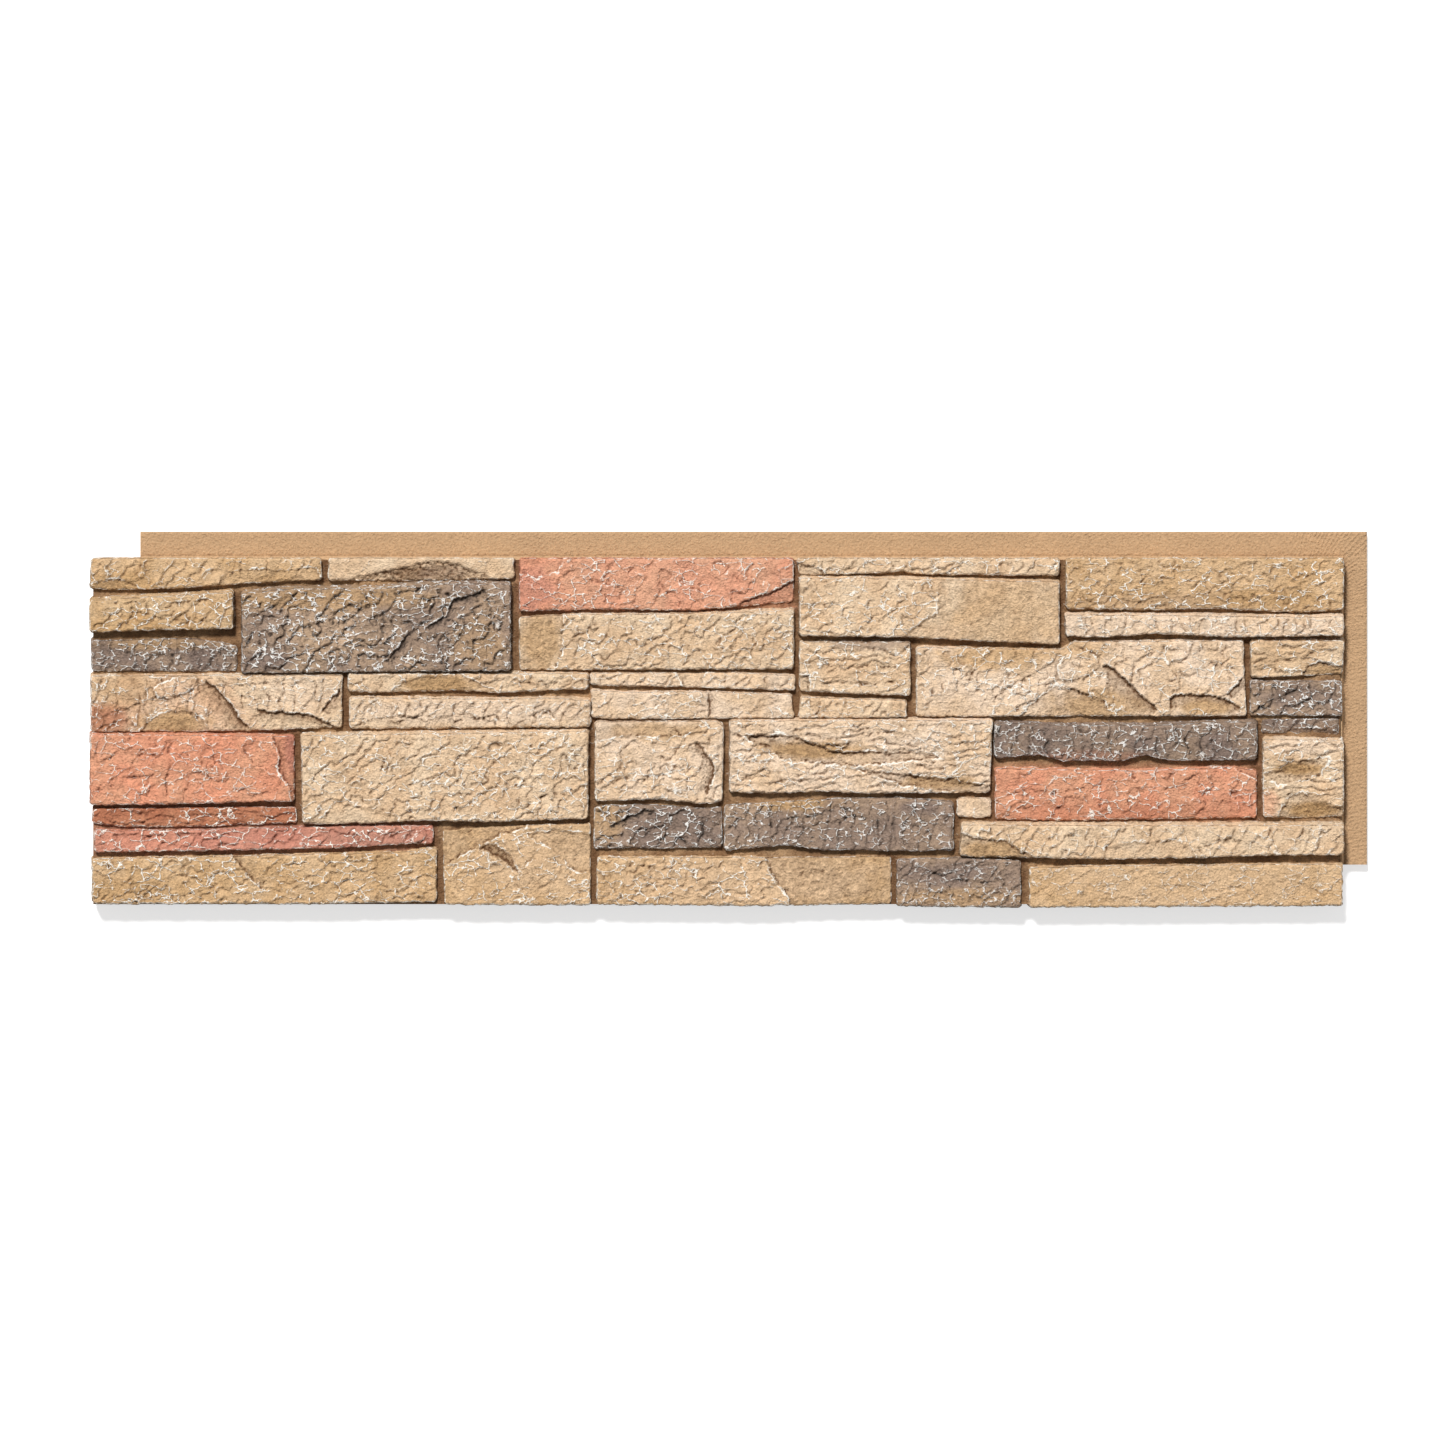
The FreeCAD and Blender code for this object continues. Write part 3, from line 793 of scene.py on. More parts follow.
            Fold(((468, 60), (480, 68), (492, 71)), 1.5), Fold(((500, 58), (514, 63), (530, 61))),
        ),
    ),
    StoneShape(
        "slate_low_east", SLATE, stand=8.0, lean=(0.5, -3.0), grain=UPRIGHT,
        lower=((540, 48.5), (590, 53), (625, 49), (694, 48), (735, 48.5)),
        upper=((540, 87), (640, 93), (690, 93.5), (735, 90)),
        clouds=(
            Cloud((640, 66), (110, 30), DARK_SLATE, 0.45), Cloud((600, 88), (40, 7), OCHRE, 0.8),
            Cloud((705, 84), (22, 7), DARK_SLATE),
        ),
        folds=(
            Fold(((589, 75.5), (607, 76.5), (624, 81), (635, 86), (650, 84)), 1.8),
            Fold(((588, 68.5), (607, 68.5), (621, 72), (635, 74), (650, 79), (663, 75.5)), 1.6),
            Fold(((668.5, 51), (670.5, 65), (669.5, 77.5)), 1.7),
            Fold(((685, 50), (683.5, 63.5), (682.5, 77.5)), 1.5),
            Fold(((541, 65), (548, 72), (555, 79)), 1.7), Fold(((572, 54), (580, 66), (577, 76)), 1.5),
        ),
    ),
    StoneShape(
        "buff_broad", BUFF, stand=11.5, lean=(0.5, 0.5),
        lower=((181, 71), (247, 72), (284, 74), (355, 73), (424, 76)),
        upper=((180, 146), (424, 149.5)),
        chips=(Chip(((178, 68), (200, 78), (208, 90), (240, 84), (262, 77), (262, 66)), (222, 74), 1.3),),
        folds=(
            Fold(((229, 96.5), (234, 89.5), (246.5, 84), (259, 81)), 1.5, 9),
            Fold(((245, 114), (248, 119), (252, 135)), 1.2),
            Fold(((344, 143.5), (353, 135), (361, 126), (368, 119), (371, 112)), 1.5, 9),
            Fold(((321, 102), (340, 114), (344, 128)), 1.2),
            Fold(((262, 100), (278, 107), (293, 112), (307, 117)), 1.2, 9),
            Fold(((286, 82), (304, 81), (311, 85), (321, 83.5)), 1.3, 6),
            Fold(((271, 72), (269, 79), (266, 90)), 1.7), Fold(((208, 118), (216, 128), (230, 132)), 1.2),
            Fold(((380, 92), (392, 98), (410, 96)), 1.2),
        ),
    ),
    StoneShape(
        "red_block", SALMON, stand=11.0, lean=(0.5, -1.0), grain=VEINED,
        lower=((0.5, 87), (113, 88.5), (143, 90.5), (174, 90)),
        upper=((0.5, 147), (113, 146), (174, 145.5)),
        chips=(
            Chip(
                (
                    (154, 150), (158, 138), (162, 129.5), (160, 117),
                    (171, 100), (173, 88), (179, 88), (179, 150),
                ),
                (176, 126), 4.6,
            ),
        ),
        clouds=(Cloud((172, 135), (8, 24), ROSE, 0.8),),
        folds=(
            Fold(((4, 124.5), (17, 128), (25, 135), (36, 136.5), (48, 133)), 1.5, 9),
            Fold(((3, 98), (10, 105), (22, 109.5), (36, 112), (46, 110.5), (58, 116.5)), 1.6, 9),
            Fold(((18, 117), (32, 120)), 1.0, 6),
            Fold(((65.5, 93), (64, 109), (68, 121), (65.5, 133), (69, 143)), 1.7, 9),
            Fold(((90, 131), (87, 143)), 1.3, 6), Fold(((104, 103), (98.5, 116), (99.5, 126))),
            Fold(((109, 116), (104, 128), (97, 141))), Fold(((130, 122), (130, 135)), 1.2, 6),
        ),
    ),
    StoneShape(
        "red_strip_upper", RUST, stand=6.5, grain=BEDDED,
        lower=((2, 72), (25, 68.5), (96, 69), (176, 72)),
        upper=((2, 84), (110, 85.5), (176, 85)),
        folds=(
            Fold(((6, 73), (25, 69.5), (48, 73)), 1.3, 4), Fold(((86, 75), (112, 73), (165, 74)), 1.3, 4),
            Fold(((40, 80), (70, 78), (100, 80), (140, 79)), 1.2, 6),
        ),
    ),
    StoneShape(
        "red_strip_lower", ROSE, stand=8.5, lean=(-0.5, -2.5),
        lower=((4, 47), (148, 49), (217, 51), (264, 53.5), (292, 55)),
        upper=((4, 66), (30, 65), (96, 66), (176, 68.5), (292, 70)),
        chips=(
            Chip(
                ((276, 55.5), (285, 57), (287.5, 61), (284, 65), (278, 65.5), (274.5, 61)),
                (281, 60.5), -1.6, floor=0.4,
            ),
        ),
        clouds=(
            Cloud((40, 56), (60, 14), SALMON, 0.3), Cloud((240, 60), (50, 12), SLATE, 0.25),
        ),
        folds=(
            Fold(((18, 62), (51, 61), (69, 62), (110, 64))),
            Fold(((252, 57), (258, 62), (266, 66)), 1.6),
        ),
    ),
    StoneShape(
        "base_west", SAND, stand=8.0, lean=(0.5, 0.5), grain=FINE,
        lower=((2, 3), (200, 3), (295, 5)),
        upper=((2, 41), (120, 43.5), (167, 44.5), (264, 46.5), (295, 50.5)),
        clouds=(Cloud((30, 14), (50, 14), OCHRE, 0.7),),
        folds=(
            Fold(((146, 14), (141, 20), (130, 32), (119, 46)), 2.2, 14),
            Fold(((37, 4), (48, 13), (60, 21.5)), 1.5), Fold(((11, 3), (22, 13), (31, 16.5)), 1.5, 6),
            Fold(((4, 3), (15, 11)), 1.3, 4), Fold(((74, 9.5), (95, 14.5), (109, 20)), 1.2),
            Fold(((70, 22), (78, 28), (76, 36)), 1.2), Fold(((200, 12), (215, 22), (236, 26)), 0.9),
        ),
    ),
    StoneShape(
        "base_cleft", SAND, stand=7.5, lean=(0.0, -1.5), grain=MILD,
        lower=((302, 2.5), (426, 2)),
        upper=((300, 66), (345, 69.5), (426, 71.5)),
        chips=(
            Chip(
                ((371, 32), (372, 39), (384, 42.5), (398, 39), (401.5, 32), (394, 23), (384, 19), (375, 25)),
                (386, 31), -1.1, floor=0.75,
            ),
            Chip(
                ((296, 34), (306, 37.5), (328, 51.5), (351, 62), (368, 66), (374, 75), (296, 75)),
                (308, 62), 4.0,
            ),
            Chip(((329, 50), (345, 42), (366, 28), (357, 44), (345, 54)), (350, 43), 2.2),
            Chip(
                ((372, 62), (392, 50), (402, 40), (414, 30), (429, 30), (429, 62), (400, 66)),
                (412, 50), 1.6, floor=0.5,
            ),
        ),
        clouds=(Cloud((380, 40), (70, 40), BUFF, 0.6),),
        folds=(
            Fold(((360, 32), (351, 41), (340.5, 46), (330, 51)), 2.6, 12),
            Fold(((372, 64), (380, 67), (385, 69)), 1.3, 4), Fold(((318, 26), (326, 33), (338, 34)), 1.2),
        ),
    ),
    StoneShape(
        "base_middle", SAND, stand=8.0, lean=(0.5, -0.5), grain=FINE,
        lower=((431.5, 2.5), (560, 1.5), (682, 3)),
        upper=((431.5, 42.5), (576, 42.5), (682, 43.5)),
        chips=(
            Chip(
                ((515, 22), (514.5, 30), (521.5, 37), (534, 35.5), (538, 28.5), (534, 22), (525, 18)),
                (526, 28), -0.9, floor=0.75,
            ),
            Chip(
                ((573, 48), (579, 30.5), (584, 20), (594.5, 9.5), (596, -3), (688, -3), (688, 48)),
                (636, 24), 2.4, floor=0.9, step=0.75,
            ),
        ),
        clouds=(Cloud((560, 22), (140, 30), BUFF, 0.8),),
        folds=(
            Fold(((470, 16), (484, 24), (500, 26)), 1.2), Fold(((600, 28), (614, 33), (628, 31)), 1.2),
            Fold(((450, 30), (462, 36), (480, 35)), 0.9, 6),
        ),
    ),
    StoneShape(
        "slate_base", SLATE, stand=7.0, lean=(0.5, -0.5), grain=SLANTED,
        lower=((687, 1), (792, 0)),
        upper=((687, 41), (740, 42), (792, 40)),
        clouds=(
            Cloud((735, 8), (60, 9), OCHRE, 0.5), Cloud((730, 28), (50, 12), DARK_SLATE),
        ),
        folds=(
            Fold(((700, 33), (716, 31), (738, 24), (760, 22), (780, 25)), 1.8, 9),
            Fold(((745, 38), (758, 36), (775, 39)), 1.3, 4),
        ),
    ),
    StoneShape(
        "base_east", SAND, stand=8.0, grain=FLOWING,
        lower=((799.5, 0), (900, 0.5), (1066, 1.5)),
        upper=((799.5, 33.5), (871, 35.5), (1066, 37)),
        clouds=(Cloud((930, 20), (140, 30), BUFF, 0.45),),
        folds=(
            Fold(((846, 3), (856, 7), (871, 8), (887, 9.5)), 0.9, 12),
            Fold(((960, 22), (985, 16), (1000, 10)), 0.7), Fold(((1020, 24), (1040, 17), (1052, 9)), 0.8),
        ),
    ),
)


class MouldNoise:
    """Random patterns over the panel, in millimetres, the same in every run."""

    cells = 256
    layer_shift = (17.31, 31.73)
    octave_shift = 3.1

    def __init__(self, seed: int) -> None:
        """Draws the lattice that every pattern reads.

        Args:
            seed: the number that the lattice is drawn from.
        """
        angle = np.random.default_rng(seed).uniform(0, 2 * math.pi, (self.cells, self.cells))
        self.east = np.cos(angle)
        self.north = np.sin(angle)

    def waves(self, x: np.ndarray, y: np.ndarray, size: float, layer: float) -> np.ndarray:
        """A smooth pattern.

        Args:
            x: places along the panel.
            y: places up the panel.
            size: how wide a hump is.
            layer: picks one pattern out of many.

        Returns:
            Values from about -1 to 1.
        """
        px = x / size + layer * self.layer_shift[0]
        py = y / size + layer * self.layer_shift[1]
        ix, iy = np.floor(px).astype(int), np.floor(py).astype(int)
        fx, fy = px - ix, py - iy
        share_x, share_y = (f * f * f * (f * (f * 6 - 15) + 10) for f in (fx, fy))

        def corner(dx: int, dy: int) -> np.ndarray:
            """What one lattice corner adds."""
            cell = (ix + dx) % self.cells, (iy + dy) % self.cells
            return self.east[cell] * (fx - dx) + self.north[cell] * (fy - dy)

        south, north = (blend(corner(0, row), corner(1, row), share_x) for row in (0, 1))
        return 1.5 * blend(south, north, share_y)

    def rough(self, x: np.ndarray, y: np.ndarray, size: float, layer: float, octaves: int = 4) -> np.ndarray:
        """Waves on waves, each half as wide and half as high as the last.

        Args:
            x: places along the panel.
            y: places up the panel.
            size: how wide the largest humps are.
            layer: picks one pattern out of many.
            octaves: how many sizes of wave are added.

        Returns:
            Values from about -1 to 1.
        """
        total = np.zeros_like(x)
        for i in range(octaves):
            total += self.waves(x, y, size / 2**i, layer + self.octave_shift * i) / 2**i
        return total / 1.6


NOISE = MouldNoise(20)


def soften(grid: np.ndarray, reach: int) -> np.ndarray:
    """The grid averaged over a square window.

    Args:
        grid: a grid of values.
        reach: how many cells the window reaches each way.

    Returns:
        A grid of the same shape.
    """
    window = 2 * reach + 1
    padded = np.pad(grid, reach, mode="edge")
    across = sum(padded[:, i : i + grid.shape[1]] for i in range(window))
    both = sum(across[i : i + grid.shape[0]] for i in range(window))
    return both / window**2


class Panel:
    """The places that the whole moulding shares, in millimetres on the stone face.

    A stone whose side is less than flange_side from the right or upper end of the face stands at a flange.
    """

    face_length = 1067.0
    face_height = 297.0
    top_flange = 23.0
    right_flange = 21.0
    flange_thickness = 9.5
    left_rebate = 42.0
    bottom_rebate = 36.0
    lap_height = 10.5
    bed_height = 18.0
    bed_inset = 2.5
    flange_side = 9.0
    box_margin = 0.05

    length = face_length + right_flange
    height = face_height + top_flange

    @classmethod
    def across(cls, x: float) -> float:
        """A place along the stone face, in the shared frame."""
        return x - cls.length / 2

    @classmethod
    def up(cls, y: float) -> float:
        """A place up the stone face, in the shared frame."""
        return y - cls.height / 2

    @classmethod
    def place(cls, mesh: bpy.types.Mesh, x: np.ndarray, y: np.ndarray, z: np.ndarray) -> None:
        """Moves a mesh's points to places on the stone face, kept inside the part's own box.

        Args:
            mesh: the mesh.
            x: places along the face.
            y: places up the face.
            z: heights over the back.
        """
        low, high = (np.array(corner) / MM for corner in CAD_BOX)
        spots = np.stack((cls.across(x), cls.up(y), z), axis=1)
        spots = np.clip(spots, low + (cls.box_margin, cls.box_margin, 0.0), high - cls.box_margin)
        mesh.vertices.foreach_set("co", (spots * MM).ravel())
        mesh.update()


def select_none() -> None:
    """Leaves every object unselected, out of edit mode."""
    if bpy.context.object and bpy.context.object.mode != "OBJECT":
        bpy.ops.object.mode_set(mode="OBJECT")
    bpy.ops.object.select_all(action="DESELECT")


def blank_block(name: str, columns: int, rows: int, rings: int) -> bpy.types.Object:
    """A unit block to carve: a grid for its face, and rings of sides, each a unit down, to one flat base.

    Args:
        name: the piece's name.
        columns: cells along the face.
        rows: cells up the face.
        rings: rings of sides.

    Returns:
        The block.
    """
    select_none()
    bpy.ops.mesh.primitive_grid_add(x_subdivisions=columns, y_subdivisions=rows, size=1, location=(0.5, 0.5, 0))
    piece = bpy.context.object
    piece.name = piece.data.name = name
    bpy.ops.object.transform_apply(location=True, rotation=False, scale=False)
    bpy.ops.object.mode_set(mode="EDIT")
    bpy.ops.mesh.select_mode(type="EDGE")
    bpy.ops.mesh.select_all(action="SELECT")
    bpy.ops.mesh.region_to_loop()
    for _ in range(rings):
        bpy.ops.mesh.extrude_edges_move(TRANSFORM_OT_translate={"value": (0, 0, -1)})
    bpy.ops.mesh.edge_face_add()
    bpy.ops.mesh.select_all(action="SELECT")
    bpy.ops.mesh.normals_make_consistent(inside=False)
    bpy.ops.object.mode_set(mode="OBJECT")
    bpy.ops.object.shade_smooth_by_angle(angle=math.radians(CREASE_DEGREES))
    return piece


def block_cells(mesh: bpy.types.Mesh, columns: int, rows: int) -> tuple[np.ndarray, np.ndarray, np.ndarray]:
    """Which column, row and ring of a blank block each point belongs to.

    Args:
        mesh: the block.
        columns: cells along its face.
        rows: cells up its face.

    Returns:
        Three arrays of whole numbers, one value a point.
    """
    coords = np.empty(len(mesh.vertices) * 3)
    mesh.vertices.foreach_get("co", coords)
    coords = coords.reshape(-1, 3)
    scaled = np.rint(coords * (columns, rows, -1)).astype(int)
    return scaled[:, 0], scaled[:, 1], scaled[:, 2]


def blank_slab(
    name: str, sides: tuple[float, float, float, float], pitch: float, rings: int
) -> tuple[bpy.types.Object, np.ndarray, np.ndarray, np.ndarray]:
    """A blank block for a rectangle of the panel, and where its points belong.

    Args:
        name: the piece's name.
        sides: the left, right, bottom and top of the rectangle.
        pitch: the size of its cells.
        rings: rings of sides.

    Returns:
        The block, the places of its points along and up the face, and the ring that each is in.
    """
    left, right, bottom, top = sides
    columns, rows = round((right - left) / pitch), round((top - bottom) / pitch)
    piece = blank_block(name, columns, rows, rings)
    column, row, ring = block_cells(piece.data, columns, rows)
    return piece, left + (right - left) * column / columns, bottom + (top - bottom) * row / rows, ring


def dress(piece: bpy.types.Object, material: bpy.types.Material) -> bpy.types.Object:
    """Gives a piece one paint.

    Args:
        piece: the piece.
        material: the paint.

    Returns:
        The same piece.
    """
    piece.data.materials.clear()
    piece.data.materials.append(material)
    return piece


def paint_points(
    mesh: bpy.types.Mesh, tint: np.ndarray, brush: np.ndarray, wash_and_shade: np.ndarray, crumple: np.ndarray
) -> None:
    """Writes the paint on a mesh's points.

    Args:
        mesh: the mesh.
        tint: a linear colour for each point.
        brush: how much pale dry brush each point has, 0 to 1.
        wash_and_shade: how much brown wash and painted shade each point has, 0 to 1.
        crumple: how strong the finest wrinkles are at each point, 0 to 1.
    """
    colours = np.ones((len(mesh.vertices), 4))
    colours[:, :3] = tint
    mesh.attributes.new("tint", "FLOAT_COLOR", "POINT").data.foreach_set("color", colours.ravel())
    for name, amount in (("brush", brush), ("wash_and_shade", wash_and_shade), ("crumple", crumple)):
        values = np.clip(amount, 0, 1) + np.zeros(len(mesh.vertices))
        mesh.attributes.new(name, "FLOAT", "POINT").data.foreach_set("value", values)


@dataclass(frozen=True)
class StonePaint:
    """The paint: the base coat, a brown wash in the hollows that also colours the painted shade, and a pale dry
    brush on the crests.

    Its patterns are cloud_mm, fold_mm, crumb_mm and grit_mm wide, from the broadest to the finest. The thin
    wrinkles are fold_mm apart and catch the brush by crest. Painted shade lies lee_shade_mm below and right of
    them, as strong as lee_shade, on their side away from the light. grain_mm and ridge_mm are how high the
    grain and the wrinkles stand, and mottle how uneven the base is.
    """

    name: str
    wash_and_shade: Rgb = srgb(99, 66, 38)
    brush: Rgb = srgb(255, 250, 240)
    roughness: float = 0.74
    specular: float = 0.3
    grit_mm: float = 1.7
    crumb_mm: float = 3.6
    cloud_mm: float = 26.0
    fold_mm: float = 9.0
    crest: float = 0.76
    lee_shade_mm: float = 0.9
    lee_shade: float = 0.33
    grain_mm: float = 1.5
    ridge_mm: float = 0.35
    mottle: float = 0.07


class PaintNodes:
    """Short ways to lay out the nodes of a paint."""

    wrinkle_turn = -50
    wrinkle_squeeze = (0.62, 1.15, 1.0)
    wrinkle_bend = 0.75
    wrinkle_width = 0.5

    def __init__(self, material: bpy.types.Material) -> None:
        """Starts on a material's node tree.

        Args:
            material: the material, with its nodes on.
        """
        self.nodes = material.node_tree.nodes
        self.links = material.node_tree.links
        self.shader = self.nodes["Principled BSDF"]
        self.place = self.nodes.new("ShaderNodeTexCoord").outputs["Object"]

    def feed(self, socket: bpy.types.NodeSocket, value: object) -> None:
        """Gives a socket a number, a colour or another node's output.

        Args:
            socket: the socket.
            value: what goes in.
        """
        if isinstance(value, (int, float)):
            socket.default_value = value
        elif isinstance(value, tuple):
            socket.default_value = (*value, 1.0)
        else:
            self.links.new(value, socket)

    def painted(self, name: str, output: str = "Fac") -> bpy.types.NodeSocket:
        """What is painted on the mesh.

        Args:
            name: the name that it is painted under.
            output: "Fac" for an amount, "Color" for a colour.

        Returns:
            The attribute's output.
        """
        node = self.nodes.new("ShaderNodeAttribute")
        node.attribute_name = name
        return node.outputs[output]

    def wrinkles(self, size_mm: float, shift_mm: float) -> bpy.types.NodeSocket:
        """Thin crooked lines that branch, the bent and broken edges of cells.

        Args:
            size_mm: how wide a cell is.
            shift_mm: how far the whole pattern is moved right and down, for the painted shade on the side of
                the lines away from the light.

        Returns:
            1 on a line, 0 away from it.
        """
        shift = (-shift_mm, shift_mm, 0.0)
        bend_mm = self.wrinkle_bend * size_mm
        bent = self.nodes.new("ShaderNodeVectorMath")
        bent.operation = "MULTIPLY_ADD"
        self.links.new(self.noise(bend_mm, 2.0, 0.0, shift, "Color"), bent.inputs[0])
        bent.inputs[1].default_value = (bend_mm * MM,) * 3
        self.links.new(self.moved(shift), bent.inputs[2])
        slanted = self.nodes.new("ShaderNodeMapping")
        slanted.inputs["Rotation"].default_value[2] = math.radians(self.wrinkle_turn)
        slanted.inputs["Scale"].default_value = self.wrinkle_squeeze
        self.links.new(bent.outputs["Vector"], slanted.inputs["Vector"])
        cells = self.nodes.new("ShaderNodeTexVoronoi")
        cells.feature = "DISTANCE_TO_EDGE"
        cells.inputs["Scale"].default_value = 1 / (size_mm * MM)
        self.links.new(slanted.outputs["Vector"], cells.inputs["Vector"])
        half_width = self.wrinkle_width / size_mm
        line = self.remap(cells.outputs["Distance"], (0.3 * half_width, half_width), (1.0, 0.0), True)
        unbroken = self.remap(self.noise(1.1 * size_mm, 1.0, 0.0, shift), (0.4, 0.48), (0.0, 1.0), True)
        return self.math("MULTIPLY", line, unbroken)

    def moved(self, shift_mm: tuple[float, float, float]) -> bpy.types.NodeSocket:
        """The place that each point reads its patterns at, some way off its own.

        Args:
            shift_mm: how far off, each way.

        Returns:
            The place.
        """
        if not any(shift_mm):
            return self.place
        node = self.nodes.new("ShaderNodeVectorMath")
        node.operation = "ADD"
        node.inputs[1].default_value = [shift * MM for shift in shift_mm]
        self.links.new(self.place, node.inputs[0])
        return node.outputs["Vector"]

    def noise(
        self,
        size_mm: float,
        detail: float,
        distortion: float = 0.0,
        shift_mm: tuple[float, float, float] = (0, 0, 0),
        output: str = "Fac",
    ) -> bpy.types.NodeSocket:
        """A noise pattern.

        Args:
            size_mm: how wide a hump is.
            detail: how many finer sizes are added.
            distortion: how much the pattern is bent.
            shift_mm: how far from its own place each point reads the pattern.
            output: "Fac" for one value, "Color" for three of them.

        Returns:
            The pattern, mostly from 0.3 to 0.7.
        """
        node = self.nodes.new("ShaderNodeTexNoise")
        node.inputs["Scale"].default_value = 1 / (size_mm * MM)
        node.inputs["Detail"].default_value = detail
        node.inputs["Distortion"].default_value = distortion
        self.links.new(self.moved(shift_mm), node.inputs["Vector"])
        return node.outputs[output]

    def remap(
        self, value: object, start: tuple[float, float], end: tuple[float, float], smooth: bool = False
    ) -> bpy.types.NodeSocket:
        """A value carried from one range to another, and held inside it.

        Args:
            value: the value.
            start: the range that it comes in.
            end: the range that it goes to.
            smooth: whether it eases in and out.

        Returns:
            The new value.
        """
        node = self.nodes.new("ShaderNodeMapRange")
        if smooth:
            node.interpolation_type = "SMOOTHSTEP"
        for name, number in zip(("From Min", "From Max", "To Min", "To Max"), (*start, *end)):
            node.inputs[name].default_value = number
        self.feed(node.inputs["Value"], value)
        return node.outputs["Result"]

    def math(self, kind: str, first: object, second: object) -> bpy.types.NodeSocket:
        """Two values combined.

        Args:
            kind: what is done with them.
            first: the first value.
            second: the second value.

        Returns:
            The result.
        """
        node = self.nodes.new("ShaderNodeMath")
        node.operation = kind
        self.feed(node.inputs[0], first)
        self.feed(node.inputs[1], second)
        return node.outputs["Value"]

    def scale(self, colour: object, amount: object) -> bpy.types.NodeSocket:
        """A colour made darker or lighter.

        Args:
            colour: the colour.
            amount: how many times as light it becomes.

        Returns:
            The new colour.
        """
        node = self.nodes.new("ShaderNodeVectorMath")
        node.operation = "SCALE"
        self.feed(node.inputs[0], colour)
        self.feed(node.inputs["Scale"], amount)
        return node.outputs["Vector"]

    def coat(self, amount: object, under: object, over: object) -> bpy.types.NodeSocket:
        """One colour laid over another.

        Args:
            amount: how thick the coat is, 0 to 1.
            under: the colour beneath.
            over: the colour of the coat.

        Returns:
            The colour that shows.
        """
        node = self.nodes.new("ShaderNodeMix")
        node.data_type = "RGBA"
        colours = [socket for socket in node.inputs if socket.type == "RGBA"]
        self.feed(node.inputs["Factor"], amount)
        self.feed(colours[0], under)
        self.feed(colours[1], over)
        return next(socket for socket in node.outputs if socket.type == "RGBA")

    def relief(self, height: object) -> None:
        """Bumps on the shader's surface.

        Args:
            height: how high they stand, in millimetres.
        """
        node = self.nodes.new("ShaderNodeBump")
        node.inputs["Distance"].default_value = MM
        self.feed(node.inputs["Height"], height)
        self.links.new(node.outputs["Normal"], self.shader.inputs["Normal"])


def stone_material(paint: StonePaint) -> bpy.types.Material:
    """Makes the node material of a paint.

    Args:
        paint: the colours and sizes.

    Returns:
        The material.
    """
    material = bpy.data.materials.new(paint.name)
    material.use_nodes = True
    nodes = PaintNodes(material)
    grit = nodes.noise(paint.grit_mm, 3.0)
    crumb = nodes.noise(paint.crumb_mm, 4.0, 0.6)
    clouds = nodes.noise(paint.cloud_mm, 4.0)

    def spread(pattern: object, low: float, high: float, middle: float = 0.0) -> bpy.types.NodeSocket:
        """A pattern carried to the range from low to high about a middle."""
        return nodes.remap(pattern, NOISE_RANGE, (middle + low, middle + high))

    def times(*factors: object) -> bpy.types.NodeSocket:
        """Values multiplied together.

        Args:
            factors: two values or more.

        Returns:
            Their product.
        """
        product = factors[0]
        for factor in factors[1:]:
            product = nodes.math("MULTIPLY", product, factor)
        return product

    patches = nodes.remap(nodes.noise(paint.fold_mm * 2.4, 2.0), (0.36, 0.5), (0.5, 1.12))
    crinkle = times(nodes.painted("crumple"), patches)
    wrinkle = times(nodes.wrinkles(paint.fold_mm, 0.0), crinkle)
    # Painted shade: the wrinkles again, moved right and down, darken their side away from the light.
    lee_shade = times(nodes.wrinkles(paint.fold_mm, paint.lee_shade_mm), crinkle)

    shade = spread(clouds, -paint.mottle, paint.mottle, 1.0)
    speckle = spread(crumb, -1.9 * paint.mottle, 1.7 * paint.mottle, 1.0)
    fleck = spread(grit, -2.4 * paint.mottle, 2.2 * paint.mottle, 1.0)
    base = nodes.scale(nodes.painted("tint", "Color"), times(shade, speckle, fleck))

    # The brown wash painted on the mesh, with the painted shade of the wrinkles added to it.
    wash_and_lee_shade = nodes.math("ADD", nodes.painted("wash_and_shade"), times(lee_shade, paint.lee_shade))
    wash_and_shade_coat = nodes.remap(nodes.math("ADD", wash_and_lee_shade, spread(crumb, 0.16, -0.16)), (0.05, 0.95), (0.0, 0.95))
    washed_and_shaded = nodes.coat(wash_and_shade_coat, base, paint.wash_and_shade)

    uneven = nodes.math("ADD", spread(crumb, -0.14, 0.14), spread(grit, -0.1, 0.1))
    lifted = nodes.math("MAXIMUM", nodes.painted("brush"), times(wrinkle, paint.crest))
    dragged = nodes.remap(nodes.math("ADD", lifted, uneven), (0.35, 0.8), (0.0, 0.9), True)
    nodes.feed(nodes.shader.inputs["Base Color"], nodes.coat(dragged, washed_and_shaded, paint.brush))

    nodes.feed(nodes.shader.inputs["Roughness"], spread(grit, -0.06, 0.08, paint.roughness))
    nodes.shader.inputs["Specular IOR Level"].default_value = paint.specular
    grain = times(nodes.math("ADD", times(grit, 1.3), times(crumb, 0.45)), paint.grain_mm)
    nodes.relief(nodes.math("ADD", grain, times(wrinkle, paint.ridge_mm)))
    return material


@dataclass(frozen=True)
class Wear:
    """How much of the dry brush, of the wash and of the painted shade each kind of place on a stone takes.

    The rim is the worn edge of the face, rim_at from its end. A lip stands over a foot in painted shade at each
    chip and fold.
    """

    rim_at: float = 0.25
    rim_width: float = 0.7
    rim_brush: float = 0.85
    lip_brush: float = 0.95
    crest_brush: float = 0.42
    slate_brush: float = 0.95
    foot_bare: float = 0.3
    foot_shade: float = 0.32
    hollow_wash: float = 0.68
    deep_wash: float = 0.42
    chip_darkening: float = 0.35


